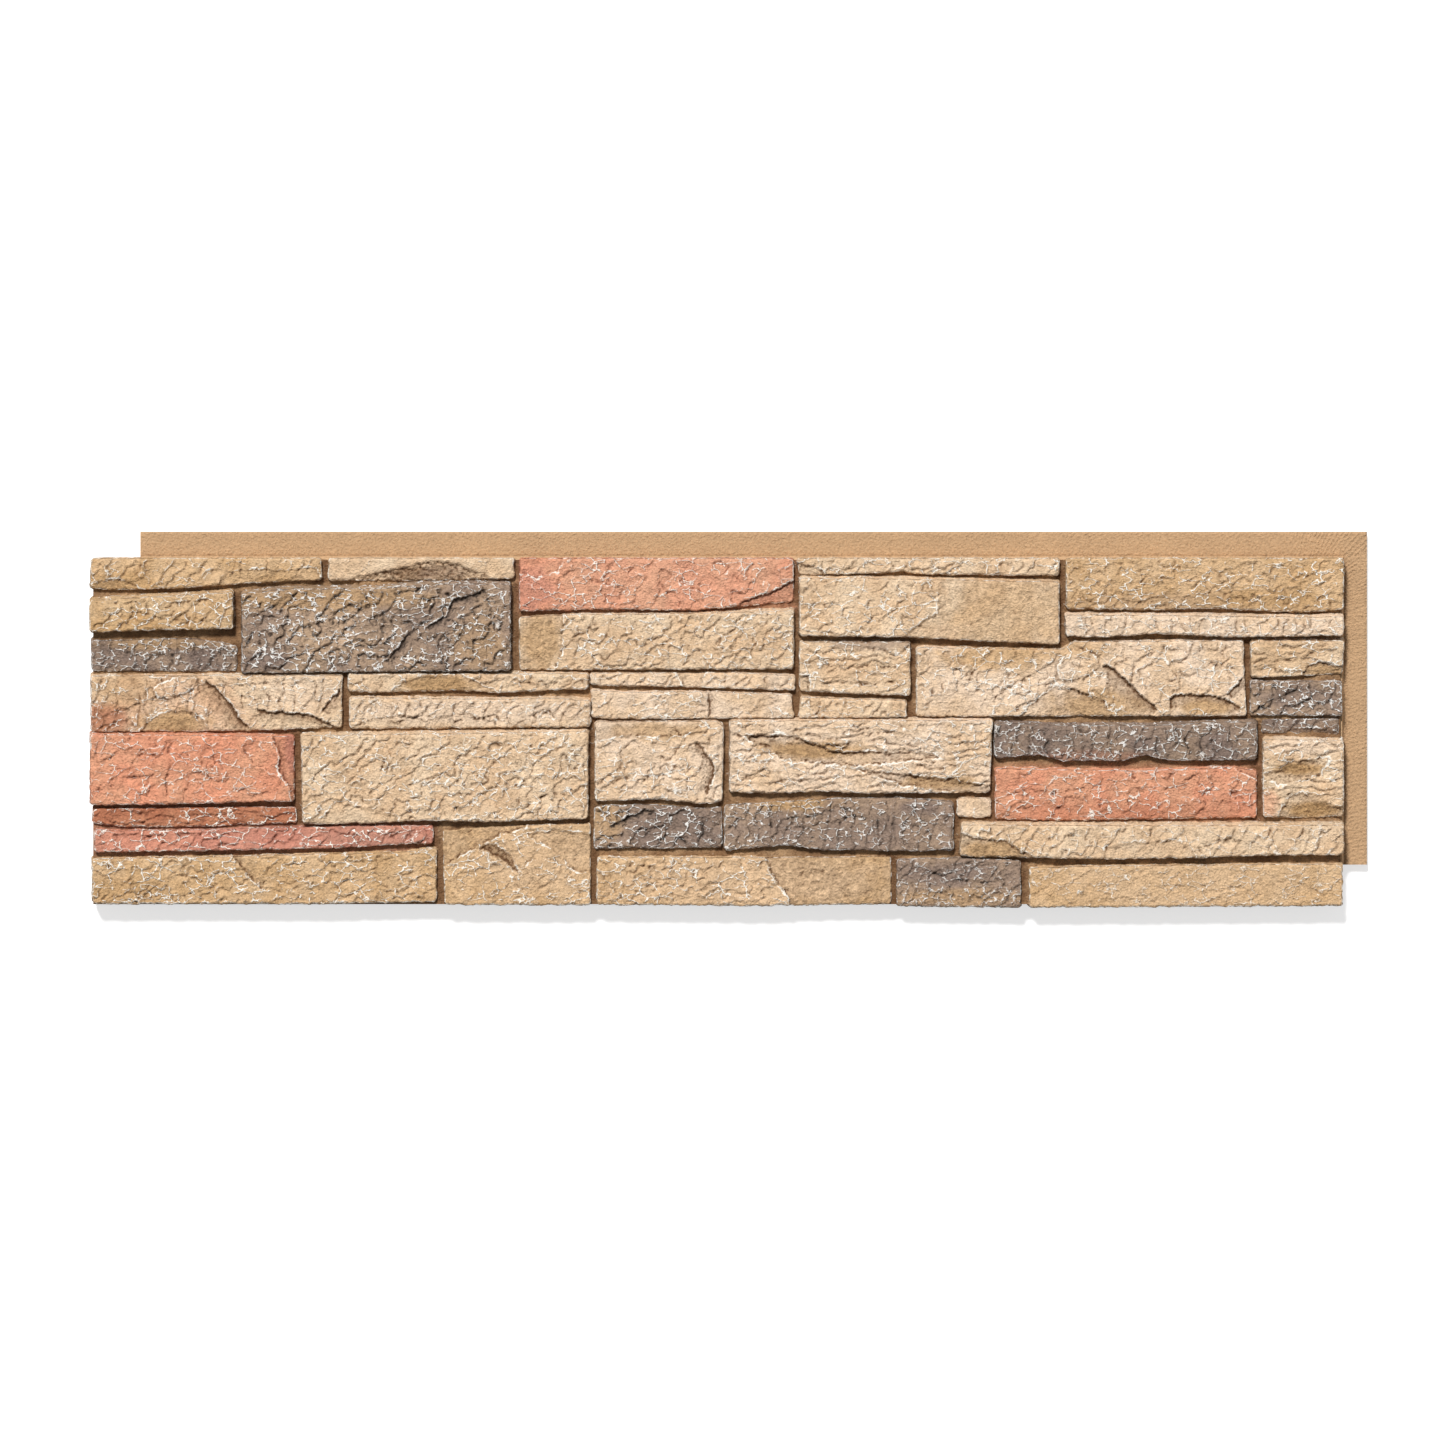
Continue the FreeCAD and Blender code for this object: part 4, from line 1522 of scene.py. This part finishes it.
@dataclass
class LedgeStone:
    """A moulded stone: a block with a carved face, roughened sides and its own colours.

    The sides sink by sink_steps and flare outwards as they go down, less where they stand at a flange. The
    layers say how far apart the random patterns of two neighbouring stones are picked. The mean face lies
    face_drop under the solid's. Finer flakes lie over the grain's own, in shares of their sizes and turned
    by fine_turn, both in patches, and split stone breaks in beds, each bed_step thick.
    """

    shape: StoneShape
    layer: int
    pitch: float = 0.97
    corner: float = 2.2
    end_radius: float = 1.4
    lower_radius: float = 1.1
    sink_steps: tuple[float, ...] = (0.0, 0.06, 0.22, 0.52, 1.0)
    upper_flare: float = 4.0
    side_flare: float = 1.0
    lower_flare: float = 0.4
    flange_flare: tuple[float, float] = (0.4, 0.8)
    face_drop: float = 0.5
    swell_sizes: tuple[float, float] = (40.0, 17.0)
    flake_patch: float = 16.0
    fine_patch: float = 11.0
    fine_spacing: float = 0.55
    fine_turn: float = 55.0
    fine_bias: float = 0.7
    fine_height: float = 0.38
    fine_lip: float = 0.6
    grit_size: float = 3.7
    grit_height: float = 0.16
    bed_step: float = 0.35
    skin_layers: float = 1.37
    edge_layers: float = 2.11
    coat_layers: float = 1.91
    wear: Wear = Wear()
    columns: int = field(init=False, default=0)
    rows: int = field(init=False, default=0)

    def build(self, material: bpy.types.Material) -> bpy.types.Object:
        """Makes the stone.

        Args:
            material: the paint.

        Returns:
            The finished piece.
        """
        lower, upper = np.array(self.shape.lower), np.array(self.shape.upper)
        long = (lower[-1, 0] - lower[0, 0] + upper[-1, 0] - upper[0, 0]) / 2
        tall = upper[:, 1].max() - lower[:, 1].min()
        self.columns, self.rows = round(long / self.pitch), round(tall / self.pitch)
        piece = blank_block(self.shape.name, self.columns, self.rows, len(self.sink_steps) - 1)
        self.carve(piece.data, lower, upper)
        return dress(piece, material)

    def flakes(
        self, x: np.ndarray, y: np.ndarray, spacing: float, turn: float, bias: float, layer: float
    ) -> tuple[np.ndarray, np.ndarray]:
        """Thin flakes that rise slowly and end in a sharp crooked lip.

        Args:
            x: places along the face.
            y: places up the face.
            spacing: how far apart the lips are.
            turn: the way that they step down, in degrees.
            bias: how much they all face that way.
            layer: picks one pattern out of many.

        Returns:
            The height from 0 to 1, and 1 on the lips themselves.
        """
        jagged_x = x + 2.0 * NOISE.waves(x, y, 7.1, layer) + 0.8 * NOISE.waves(x, y, 3.1, layer + 1)
        jagged_y = y + 2.0 * NOISE.waves(x, y, 7.1, layer + 2) + 0.8 * NOISE.waves(x, y, 3.1, layer + 3)
        angle = math.radians(turn)
        down = jagged_x * math.cos(angle) + jagged_y * math.sin(angle)
        across = (-jagged_x * math.sin(angle) + jagged_y * math.cos(angle)) / self.shape.grain.stretch
        terraces = bias * down / spacing + 1.25 * NOISE.rough(down, across, 2.6 * spacing, layer + 4, 2)
        slope = np.hypot(*np.gradient(terraces)) / self.pitch
        drop = np.clip(1.25 * slope, 0.06, 0.5)
        saw = terraces - np.floor(terraces)
        height = np.minimum((saw / (1 - drop)) ** 1.5, (1 - saw) / drop)
        return height, hump(saw, 1 - drop, 0.45 * drop + 0.02)

    def relief(self, x: np.ndarray, y: np.ndarray) -> tuple[np.ndarray, np.ndarray]:
        """The broken surface of the face, about its mean plane.

        Args:
            x: places along the face.
            y: places up the face.

        Returns:
            Heights in millimetres, and how much of a lip each place is.
        """
        grain = self.shape.grain
        layer = self.layer * self.skin_layers
        broad, broad_lip = self.flakes(x, y, grain.spacing, grain.turn, grain.bias, layer)
        finer = self.fine_spacing * grain.spacing, grain.turn + self.fine_turn, self.fine_bias * grain.bias
        fine, fine_lip = self.flakes(x, y, *finer, layer + 20)
        show = ease(-0.35, 0.35, NOISE.rough(x, y, self.flake_patch, layer + 30, 2) + grain.cover)
        show_fine = ease(-0.25, 0.4, NOISE.rough(x, y, self.fine_patch, layer + 31, 2) + grain.cover)
        wide, near = self.swell_sizes
        swell = NOISE.rough(x, y, wide, layer + 32, 2) + 0.9 * NOISE.rough(x, y, near, layer + 34, 2)
        height = grain.swell * swell
        height += grain.ridge * (show * (broad - 0.4) + self.fine_height * show_fine * (fine - 0.4))
        height += self.grit_height * grain.ridge * NOISE.rough(x, y, self.grit_size, layer + 33, 2)
        return height, np.maximum(show * broad_lip, self.fine_lip * show_fine * fine_lip)

    def splits(self, x: np.ndarray, y: np.ndarray) -> tuple[np.ndarray, np.ndarray, np.ndarray, np.ndarray]:
        """How far chips and folds take the face down.

        Args:
            x: places along the face.
            y: places up the face.

        Returns:
            The depth in millimetres, how much of the skin is left (1 outside the chips), and how much
            of a lip and of a foot each place is.
        """
        layer = self.layer * self.skin_layers + 40
        warp_x = x + 1.8 * NOISE.rough(x, y, 7, layer, 2) + 0.9 * NOISE.waves(x, y, 2.8, layer + 5)
        warp_y = y + 1.8 * NOISE.rough(x, y, 7, layer + 1, 2) + 0.9 * NOISE.waves(x, y, 2.8, layer + 6)
        waver = NOISE.rough(x, y, 10, layer + 7, 3)
        cut, raised, lip, foot, crag = (np.zeros_like(x) for _ in range(5))
        skin = np.ones_like(x)
        for chip in self.shape.chips:
            depth, within = chip.cut(warp_x, warp_y, self.pitch)
            outward = within if chip.depth < 0 else -within
            sharp = ease(0.1, 0.7, abs(chip.depth) * chip.step) * (1 - 0.7 * ease(1.0, 3.0, chip.crag))
            lip = np.maximum(lip, sharp * hump(outward, 0.7, 0.9))
            foot = np.maximum(foot, sharp * hump(outward, -0.9, 1.2))
            if chip.depth > 0:
                skin = np.minimum(skin, 1 - 0.6 * ease(0.0, 2.5, within))
                crag = np.maximum(crag, chip.crag * ease(0.0, 3.0, within))
            cut = np.maximum(cut, depth)
            raised = np.minimum(raised, depth)
        beds = cut / self.bed_step + 0.7 * NOISE.rough(x, y, 9, layer + 2, 2)
        step = beds - np.floor(beds)
        cut += (1 - skin) * ease(1.0, 1.8, cut) * 1.2 * (np.minimum(step**1.4, (1 - step) * 5) - 0.4)
        broken = np.abs(NOISE.rough(0.8 * x - 0.6 * y, 1.6 * (0.6 * x + 0.8 * y), 9, layer + 9, 4))
        depth = cut + raised + crag * (0.45 - 1.5 * broken)
        for fold in self.shape.folds:
            drop, fold_lip, fold_foot, bare = fold.cut(warp_x, warp_y, waver)
            skin = np.minimum(skin, 1 - 0.65 * bare)
            depth = depth + drop
            lip = np.maximum(lip, fold_lip)
            foot = np.maximum(foot, fold_foot)
        return depth, skin, lip, foot

    def carve(self, mesh: bpy.types.Mesh, lower: np.ndarray, upper: np.ndarray) -> None:
        """Moves the block's points to the stone's shape, and paints them.

        Args:
            mesh: the unit block.
            lower: the outline's lower edge.
            upper: the outline's upper edge.
        """
        layer = self.layer * self.edge_layers
        u, v = np.meshgrid(np.linspace(0, 1, self.columns + 1), np.linspace(0, 1, self.rows + 1))
        low_x = lower[0, 0] + (lower[-1, 0] - lower[0, 0]) * u
        high_x = upper[0, 0] + (upper[-1, 0] - upper[0, 0]) * u
        flat = np.zeros_like(low_x)
        inset = np.minimum(low_x - low_x[0, 0], low_x[0, -1] - low_x)
        nip = self.corner * round_fall(1 - np.clip(inset / self.corner, 0, 1))
        notch = np.maximum(NOISE.waves(low_x, flat, 7, layer + 1) - 0.35, 0)
        low_y = np.interp(low_x, lower[:, 0], lower[:, 1]) + nip + 1.2 * notch
        low_y += 1.0 * NOISE.rough(low_x, flat, 10, layer, 4) + 0.5 * NOISE.waves(low_x, flat, 2.7, layer + 8)
        high_y = np.interp(high_x, upper[:, 0], upper[:, 1]) - nip
        high_y += 0.8 * NOISE.rough(high_x, flat, 11, layer + 2, 4)
        x, y = blend(low_x, high_x, v), blend(low_y, high_y, v)
        x += 0.9 * NOISE.rough(flat, y, 9, layer + 3, 4) * (1 - 2 * u)
        sides = np.minimum(x - x[:, :1], x[:, -1:] - x)
        below = y - low_y
        above = high_y - y
        edge = np.minimum(np.minimum(sides, below), above)
        relief, lip = self.relief(x, y)
        depth, skin, split_lip, split_foot = self.splits(x, y)
        z = Panel.bed_height + self.shape.stand - self.face_drop
        z = z + self.shape.lean[0] * (u - 0.5) + self.shape.lean[1] * (v - 0.5)
        z = z + relief * skin * ease(-1.0, 2.2, edge) - depth
        z -= self.rounding(sides, below, above, x, y)
        crest = 0.6 * (z - soften(z, 2)) + 0.9 * (z - soften(z, 1))
        hollow = soften(z, 2) - z
        deep = soften(z, 6) - z
        lit = np.minimum(np.minimum(sides, below), above + 0.6)
        wear = self.wear
        rim = hump(lit, wear.rim_at, wear.rim_width) * ease(-0.5, 0.2, NOISE.rough(x, y, 10, layer + 4, 2))
        patchy = 0.4 + 0.7 * ease(-0.4, 0.5, NOISE.rough(x, y, 15, layer + 5, 2))
        worn = 0.45 + 0.55 * ease(0.0, 3.0, edge)
        lines = wear.lip_brush * lip * skin * ease(-0.25, 0.25, crest)
        brush = patchy * worn * np.maximum(lines, wear.crest_brush * ease(0.25, 1.2, crest))
        brush = (1.15 - 0.5 * self.shape.grain.crumple) * brush + wear.rim_brush * rim
        if self.shape.colour in SLATES:
            brush = wear.slate_brush * brush
        brush = np.maximum(brush, patchy * split_lip) - wear.foot_bare * split_foot
        wash_and_shade = wear.hollow_wash * ease(0.1, 0.9, hollow) + wear.deep_wash * ease(0.4, 3.0, deep)
        # Painted shade at the foot of each lip and over the bared stone below great folds, and the face darker
        # where chips and bared stone are cut deep.
        wash_and_shade = wash_and_shade + wear.foot_shade * split_foot + wear.chip_darkening * (1 - skin) * ease(0.8, 2.0, depth)
        self.finish(mesh, (x, y, z), brush, wash_and_shade, self.shape.grain.crumple * skin)

    def rounding(
        self, sides: np.ndarray, below: np.ndarray, above: np.ndarray, x: np.ndarray, y: np.ndarray
    ) -> np.ndarray:
        """How far the worn edges fall below the face.

        Args:
            sides: how far each place is from the nearer end.
            below: how far it is from the lower edge.
            above: how far it is from the upper edge.
            x: places along the face.
            y: places up the face.

        Returns:
            The fall in millimetres.
        """
        uneven = 1 + 0.5 * NOISE.waves(x, y, 12, self.layer * self.edge_layers + 6)
        fall = np.zeros_like(x)
        for away, radius in ((sides, self.end_radius), (below, self.lower_radius), (above, self.shape.brow)):
            share = 1 - np.clip(away / (radius * uneven), 0, 1)
            fall = np.maximum(fall, radius * uneven * round_fall(share))
        return fall

    def finish(
        self,
        mesh: bpy.types.Mesh,
        face: tuple[np.ndarray, np.ndarray, np.ndarray],
        brush: np.ndarray,
        wash_and_shade: np.ndarray,
        crumple: np.ndarray,
    ) -> None:
        """Puts the points of the face and the sides in place, with their paint and the painted shade of the
        sides.

        Args:
            mesh: the unit block.
            face: places along and up the face, and its heights.
            brush: the dry brush on the face.
            wash_and_shade: the wash and the painted shade on the face.
            crumple: how strong the finest wrinkles on the face are.
        """
        column, row, ring = block_cells(mesh, self.columns, self.rows)
        cell = row, column
        x, y, z = (values[cell] for values in face)
        out_x = np.where(column == 0, -1, 0) + np.where(column == self.columns, 1, 0)
        out_y = np.where(row == 0, -1, 0) + np.where(row == self.rows, 1, 0)
        at_right = x > Panel.face_length - Panel.flange_side
        at_top = y > Panel.face_height - Panel.flange_side

        sink = np.array(self.sink_steps)[ring] * (z - Panel.lap_height - 0.1)
        spread = ease(0.0, 9.0, sink)
        rough = 0.7 * NOISE.rough(x + y, sink * 1.6, 5, self.layer * self.edge_layers + 7, 3)
        jut = rough * (ring < len(self.sink_steps) - 1)
        flare_x = np.where(at_right, self.flange_flare[0], self.side_flare)
        flare_up = np.where(at_top, self.flange_flare[1], self.upper_flare)
        flare_y = np.where(out_y > 0, flare_up, self.lower_flare)
        side = ring > 0
        push_x = side * out_x * (0.2 + flare_x * spread + jut)
        push_y = side * out_y * (0.2 + flare_y * spread + jut)
        Panel.place(mesh, x + push_x, y + push_y, z - sink)

        # Painted shade on the sides: they darken lower down; the right-hand sides, away from the light, are
        # darker, and the upper sides, which face it, lighter; beside the right flange the right-hand sides are
        # less dark.
        to_right, to_top = out_x > 0, out_y > 0
        shade = 0.2 + 0.5 * ease(1.0, 8.0, sink) - 0.35 * to_top + 0.4 * to_right - 0.6 * (to_right & at_right)
        brush, wash_and_shade = brush[cell], wash_and_shade[cell]
        brush = np.where(side, 0.5 * brush * (ring == 1), brush)
        wash_and_shade = np.where(side, shade + 0.2 * rough, wash_and_shade)
        paint_points(mesh, self.tints(face[0], face[1])[cell], brush, wash_and_shade, crumple[cell])

    def tints(self, x: np.ndarray, y: np.ndarray) -> np.ndarray:
        """The base coat over the face.

        Args:
            x: places along the face.
            y: places up the face.

        Returns:
            Linear colours.
        """
        layer = self.layer * self.coat_layers
        first, second = (np.array(colour) for colour in self.shape.colour.value)
        tint = blend(first, second, ease(-0.45, 0.45, NOISE.rough(x, y, 30, layer, 4))[..., None])
        for cloud in self.shape.clouds:
            near = np.hypot((x - cloud.centre[0]) / cloud.reach[0], (y - cloud.centre[1]) / cloud.reach[1])
            ragged = near + 0.35 * NOISE.rough(x, y, 12, layer + 1, 4)
            amount = cloud.strength * ease(1.15, 0.45, ragged)[..., None]
            tint = blend(tint, np.array(cloud.colour.value[0]), amount)
        return tint * (1 + 0.08 * NOISE.rough(x, y, 6, layer + 2, 3))[..., None]


@dataclass
class JointBed:
    """The moulded floor of the joints, between the stones and the plate, in millimetres.

    It lies rise over the solid's floor and is uneven by mud. A red stone's paint spills onto it as far as
    spill, and painted shadow darkens the joint at a stone's right end, most of all nearer than the second
    end_shadow.
    """

    earth: Rgb = srgb(178, 143, 106)
    umber: Rgb = srgb(138, 104, 72)
    pitch: float = 3.6
    rise: float = 2.2
    mud: float = 1.5
    spill: float = 7.0
    spill_share: float = 0.5
    spill_shade: float = 0.65
    end_shadow: tuple[float, float] = (11.0, 3.0)

    def build(self, material: bpy.types.Material) -> bpy.types.Object:
        """Makes the bed.

        Args:
            material: the paint.

        Returns:
            The finished piece.
        """
        inset = Panel.bed_inset
        sides = inset, Panel.face_length - inset, inset, Panel.face_height - inset / 2
        piece, x, y, ring = blank_slab("joint_bed", sides, self.pitch, 1)
        top = Panel.bed_height + self.rise + self.mud * NOISE.rough(x, y, 18, 70, 3)
        Panel.place(piece.data, x, y, np.where(ring > 0, Panel.lap_height, top))

        share = ease(-0.4, 0.4, NOISE.rough(x, y, 24, 71, 3))[:, None]
        tint = blend(np.array(self.earth), np.array(self.umber), share)
        wash_and_shade = 0.12 + 0.4 * NOISE.rough(x, y, 12, 72, 3)
        uneven = 0.8 + 0.35 * NOISE.rough(x, y, 8, 73, 2)
        for shape in STONES:
            if shape.colour in REDS:
                tint = self.tinge(tint, shape, x, y)
            # Painted shadow: the joint just past each stone's right end, away from the light, is darker.
            past = x - shape.lower[-1][0]
            level = (y > shape.lower[-1][1] - 2) & (y < shape.upper[-1][1] + 2)
            wash_and_shade = np.maximum(wash_and_shade, uneven * level * (past > -5) * ease(*self.end_shadow, past))
        paint_points(piece.data, tint, 0.0, wash_and_shade, 0.4)
        return dress(piece, material)

    def tinge(self, tint: np.ndarray, shape: StoneShape, x: np.ndarray, y: np.ndarray) -> np.ndarray:
        """Lets a red stone's paint run over the joints beside it.

        Args:
            tint: the bed's colours.
            shape: the stone.
            x: places along the face.
            y: places up the face.

        Returns:
            The new colours.
        """
        corners = np.array(shape.lower + shape.upper)
        low, high = corners.min(axis=0), corners.max(axis=0)
        beside = np.maximum(low[0] - x, x - high[0]).clip(0)
        beyond = np.maximum(low[1] - y, y - high[1]).clip(0)
        away = np.hypot(beside, beyond) + 2 * NOISE.rough(x, y, 14, 74, 2)
        amount = self.spill_share * ease(self.spill, 0.0, away)[:, None]
        return blend(tint, self.spill_shade * np.array(shape.colour.value[0]), amount)


@dataclass
class BackPlate:
    """The plate at the back, whose top and right margins are the lap flange, with the foot of the relief.

    The flange carries faint ripples, a fan of furrows round fan_hub that fades away from fan_corner, and
    slanting slats down its right side below slats_top. Its face lies trim under the solid's.
    """

    tint: Rgb = srgb(195, 159, 121)
    foot_highlight_tint: Rgb = srgb(214, 178, 138)
    pitch: float = 0.8
    plate_pitch: float = 8.0
    overlap: float = 3.0
    trim: float = 0.15
    edge_radius: float = 0.7
    fan_hub: tuple[float, float] = (1018.0, 248.0)
    fan_corner: tuple[float, float] = (1078.0, 308.0)
    furrows: float = 150.0
    fan_height: float = 0.4
    slats_top: float = 290.0
    slat_height: float = 0.13
    groove_at: float = 2.6
    groove_depth: float = 0.35
    foot_top: float = 17.0
    foot_spread: float = 2.4

    def build(self, material: bpy.types.Material) -> bpy.types.Object:
        """Makes the plate.

        Args:
            material: the paint.

        Returns:
            The finished piece.
        """
        left, bottom, length, height = Panel.left_rebate, Panel.bottom_rebate, Panel.length, Panel.height
        inner_x, inner_y = Panel.face_length - self.overlap, Panel.face_height - self.overlap
        strips = [
            self.slab("back_plate", (left, inner_x, bottom, inner_y), self.plate_pitch),
            self.slab("top_flange", (left, length, inner_y, height), self.pitch),
            self.slab("right_flange", (inner_x, length, bottom, inner_y), self.pitch),
            self.foot(),
        ]
        select_none()
        for strip in strips:
            strip.select_set(True)
        bpy.context.view_layer.objects.active = strips[0]
        bpy.ops.object.join()
        return dress(bpy.context.object, material)

    def slab(self, name: str, sides: tuple[float, float, float, float], pitch: float) -> bpy.types.Object:
        """One part of the plate, with the moulding's faint ripples on its face.

        Args:
            name: its name.
            sides: its left, right, bottom and top.
            pitch: the size of its cells.

        Returns:
            The block.
        """
        piece, x, y, ring = blank_slab(name, sides, pitch, 2)
        past_face, over_face = x - Panel.face_length, y - Panel.face_height
        edge = np.minimum(Panel.length - x, Panel.height - y)
        rounded = self.edge_radius * (1 - ease(0.0, 1.6, edge))
        ripple = 0.06 * NOISE.waves(x * 0.25, y, 5, 80) + 0.12 * NOISE.rough(x, y, 5, 81, 3)
        bearing = np.arctan2(y - self.fan_hub[1], x - self.fan_hub[0])
        fan = self.fan_height * np.sin(self.furrows * bearing + 3 * NOISE.rough(x, y, 20, 82, 2))
        near_corner = ease(95, 15, np.hypot(x - self.fan_corner[0], y - self.fan_corner[1]))
        fan = fan * near_corner * ease(-0.6, 0.3, NOISE.rough(x, y, 14, 85, 2))
        down = ease(2.0, 8.0, past_face) * ease(0.0, -40.0, y - self.slats_top)
        slats = np.sin(1.7 * (y - 0.25 * x) + 3 * NOISE.rough(x * 0.4, y, 14, 83, 2))
        slats = self.slat_height * slats * down
        groove = self.groove_depth * hump(over_face, self.groove_at, 0.9)
        height = Panel.flange_thickness - self.trim - rounded + ripple + fan + slats - groove
        Panel.place(piece.data, x, y, np.choose(ring, (height, np.full_like(x, 1.0), np.zeros_like(x))))

        # Darker along the groove above the stones and in the troughs of the furrows and slats; on the right
        # flange, painted shadow of the stones beside it.
        wash_and_shade = 0.35 * hump(over_face, self.groove_at, 0.8) * (past_face < 3)
        wash_and_shade = wash_and_shade + 0.3 * ease(9.0, 0.0, past_face) * (over_face < 1)
        wash_and_shade = wash_and_shade + 0.5 * np.maximum(-fan, 0) + 0.4 * np.maximum(-slats, 0)
        tint = np.array(self.tint) * (1 + 0.03 * NOISE.rough(x, y, 40, 84, 3))[:, None]
        paint_points(piece.data, tint, 0.0, wash_and_shade, 0.0)
        return piece

    def foot(self) -> bpy.types.Object:
        """The sloped foot that joins the relief to the plate.

        Returns:
            The block.
        """
        cells = 4
        piece = blank_block("relief_foot", cells, cells, 1)
        column, row, ring = block_cells(piece.data, cells, cells)
        spread = self.foot_spread * ring
        x = np.where(column < cells, Panel.left_rebate + 1 + 250 * column, Panel.face_length - 1 + spread)
        y = np.where(row < cells, Panel.bottom_rebate + 1 + 60 * row, Panel.face_height - 0.6 + spread)
        Panel.place(piece.data, x, y, np.where(ring > 0, Panel.flange_thickness - 0.6, self.foot_top))
        # Painted highlight: the foot is painted lighter than the plate it is moulded with, as its slope looks
        # in the light.
        paint_points(piece.data, np.tile(self.foot_highlight_tint, (len(x), 1)), 0.0, 0.02 * ring, 0.1)
        return piece


@dataclass
class Studio:
    """The pale floor, the soft light and the camera over the panel.

    The centre of the panel's frame falls on centre_pixel of the photograph, and one of its pixels is
    mm_per_pixel at focus_height_mm. The light has strength level, of which the key light gives key_share.
    """

    photo_pixels: int = 1445
    mm_per_pixel: float = 0.8509
    centre_pixel: tuple[float, float] = (729.1, 719.2)
    sensor_mm: float = 36.0
    camera_height: float = 8.0
    focus_height_mm: float = 26.0
    far_end: float = 100.0
    level: float = 1.16
    key_share: float = 0.8
    key_direction: tuple[float, float, float] = (-0.24, 0.7, 1.0)
    key_width: float = 10.0
    key_colour: Rgb = (1.0, 0.99, 0.975)
    floor_size: float = 40.0
    floor_drop: float = 0.0003
    floor_colour: Rgb = (0.7, 0.7, 0.7)
    floor_glow: float = 0.62

    def build(self) -> None:
        """Sets up the whole studio."""
        self.floor()
        self.lights()
        self.camera()
        bpy.context.scene.view_settings.view_transform = "Standard"

    def floor(self) -> None:
        """A broad pale floor just under the panel."""
        select_none()
        bpy.ops.mesh.primitive_plane_add(size=self.floor_size, location=(0, 0, -self.floor_drop))
        floor = bpy.context.object
        floor.name = "floor"
        material = bpy.data.materials.new("floor_paper")
        material.use_nodes = True
        nodes = PaintNodes(material)
        nodes.shader.inputs["Base Color"].default_value = (*self.floor_colour, 1.0)
        nodes.shader.inputs["Roughness"].default_value = 0.9
        nodes.shader.inputs["Specular IOR Level"].default_value = 0.0
        nodes.shader.inputs["Emission Color"].default_value = (1.0, 1.0, 1.0, 1.0)
        seen = nodes.nodes.new("ShaderNodeLightPath").outputs["Is Camera Ray"]
        nodes.feed(nodes.shader.inputs["Emission Strength"], nodes.math("MULTIPLY", seen, self.floor_glow))
        floor.data.materials.append(material)

    def lights(self) -> None:
        """A soft key light from the upper left, and an even fill from all round."""
        direction = np.array(self.key_direction)
        direction = direction / np.linalg.norm(direction)
        key = bpy.data.lights.new("key", "SUN")
        key.energy = math.pi * self.level * self.key_share / direction[2]
        key.angle = math.radians(self.key_width)
        key.color = self.key_colour
        lamp = bpy.data.objects.new("key", key)
        bpy.context.scene.collection.objects.link(lamp)
        lamp.rotation_euler = (math.acos(direction[2]), 0, math.atan2(direction[0], -direction[1]))
        world = bpy.data.worlds.new("studio")
        bpy.context.scene.world = world
        world.use_nodes = True
        nodes, links = world.node_tree.nodes, world.node_tree.links
        background = nodes["Background"]
        background.inputs["Color"].default_value = (1, 1, 1, 1)
        ray = nodes.new("ShaderNodeLightPath")
        strength = nodes.new("ShaderNodeMapRange")
        strength.inputs["To Min"].default_value = self.level * (1 - self.key_share)
        strength.inputs["To Max"].default_value = 1.0
        links.new(ray.outputs["Is Camera Ray"], strength.inputs["Value"])
        links.new(strength.outputs["Result"], background.inputs["Strength"])

    def camera(self) -> None:
        """A long lens straight above, framed as the photograph."""
        data = bpy.data.cameras.new("camera")
        pixel = self.mm_per_pixel * MM
        data.sensor_width = self.sensor_mm
        data.lens = self.sensor_mm * self.camera_height / (self.photo_pixels * pixel)
        data.clip_end = self.far_end
        camera = bpy.data.objects.new("camera", data)
        bpy.context.scene.collection.objects.link(camera)
        middle = self.photo_pixels / 2
        camera.location = (
            (middle - self.centre_pixel[0]) * pixel,
            (self.centre_pixel[1] - middle) * pixel,
            self.focus_height_mm * MM + self.camera_height,
        )
        bpy.context.scene.camera = camera


def main() -> None:
    """Builds the panel's pieces in order and reports each one."""
    logging.basicConfig(level=logging.INFO, format="%(name)s: %(message)s")
    paint = stone_material(StonePaint("stone_paint"))
    red = stone_material(StonePaint("red_paint", wash_and_shade=srgb(104, 56, 38), lee_shade=0.45))
    slate = stone_material(
        StonePaint("slate_paint", wash_and_shade=srgb(56, 45, 38), brush=srgb(250, 248, 244), fold_mm=6.0, lee_shade=0.55)
    )
    skin = stone_material(StonePaint("plate_skin", crumb_mm=2.2, grain_mm=1.3, mottle=0.04))
    pieces = [BackPlate().build(skin), JointBed().build(paint)]
    for layer, shape in enumerate(STONES, start=1):
        coat = slate if shape.colour in SLATES else red if shape.colour in REDS else paint
        pieces.append(LedgeStone(shape, layer).build(coat))
    total = 0
    for piece in pieces:
        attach(piece, "root")
        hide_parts(NODE)
        count = sum(len(face.vertices) - 2 for face in piece.data.polygons)
        total += count
        log.info("%s: %d triangles", piece.name, count)
    log.info("%d pieces, %d triangles in all", len(pieces), total)
    Studio().build()


if __name__ == "__main__":
    main()
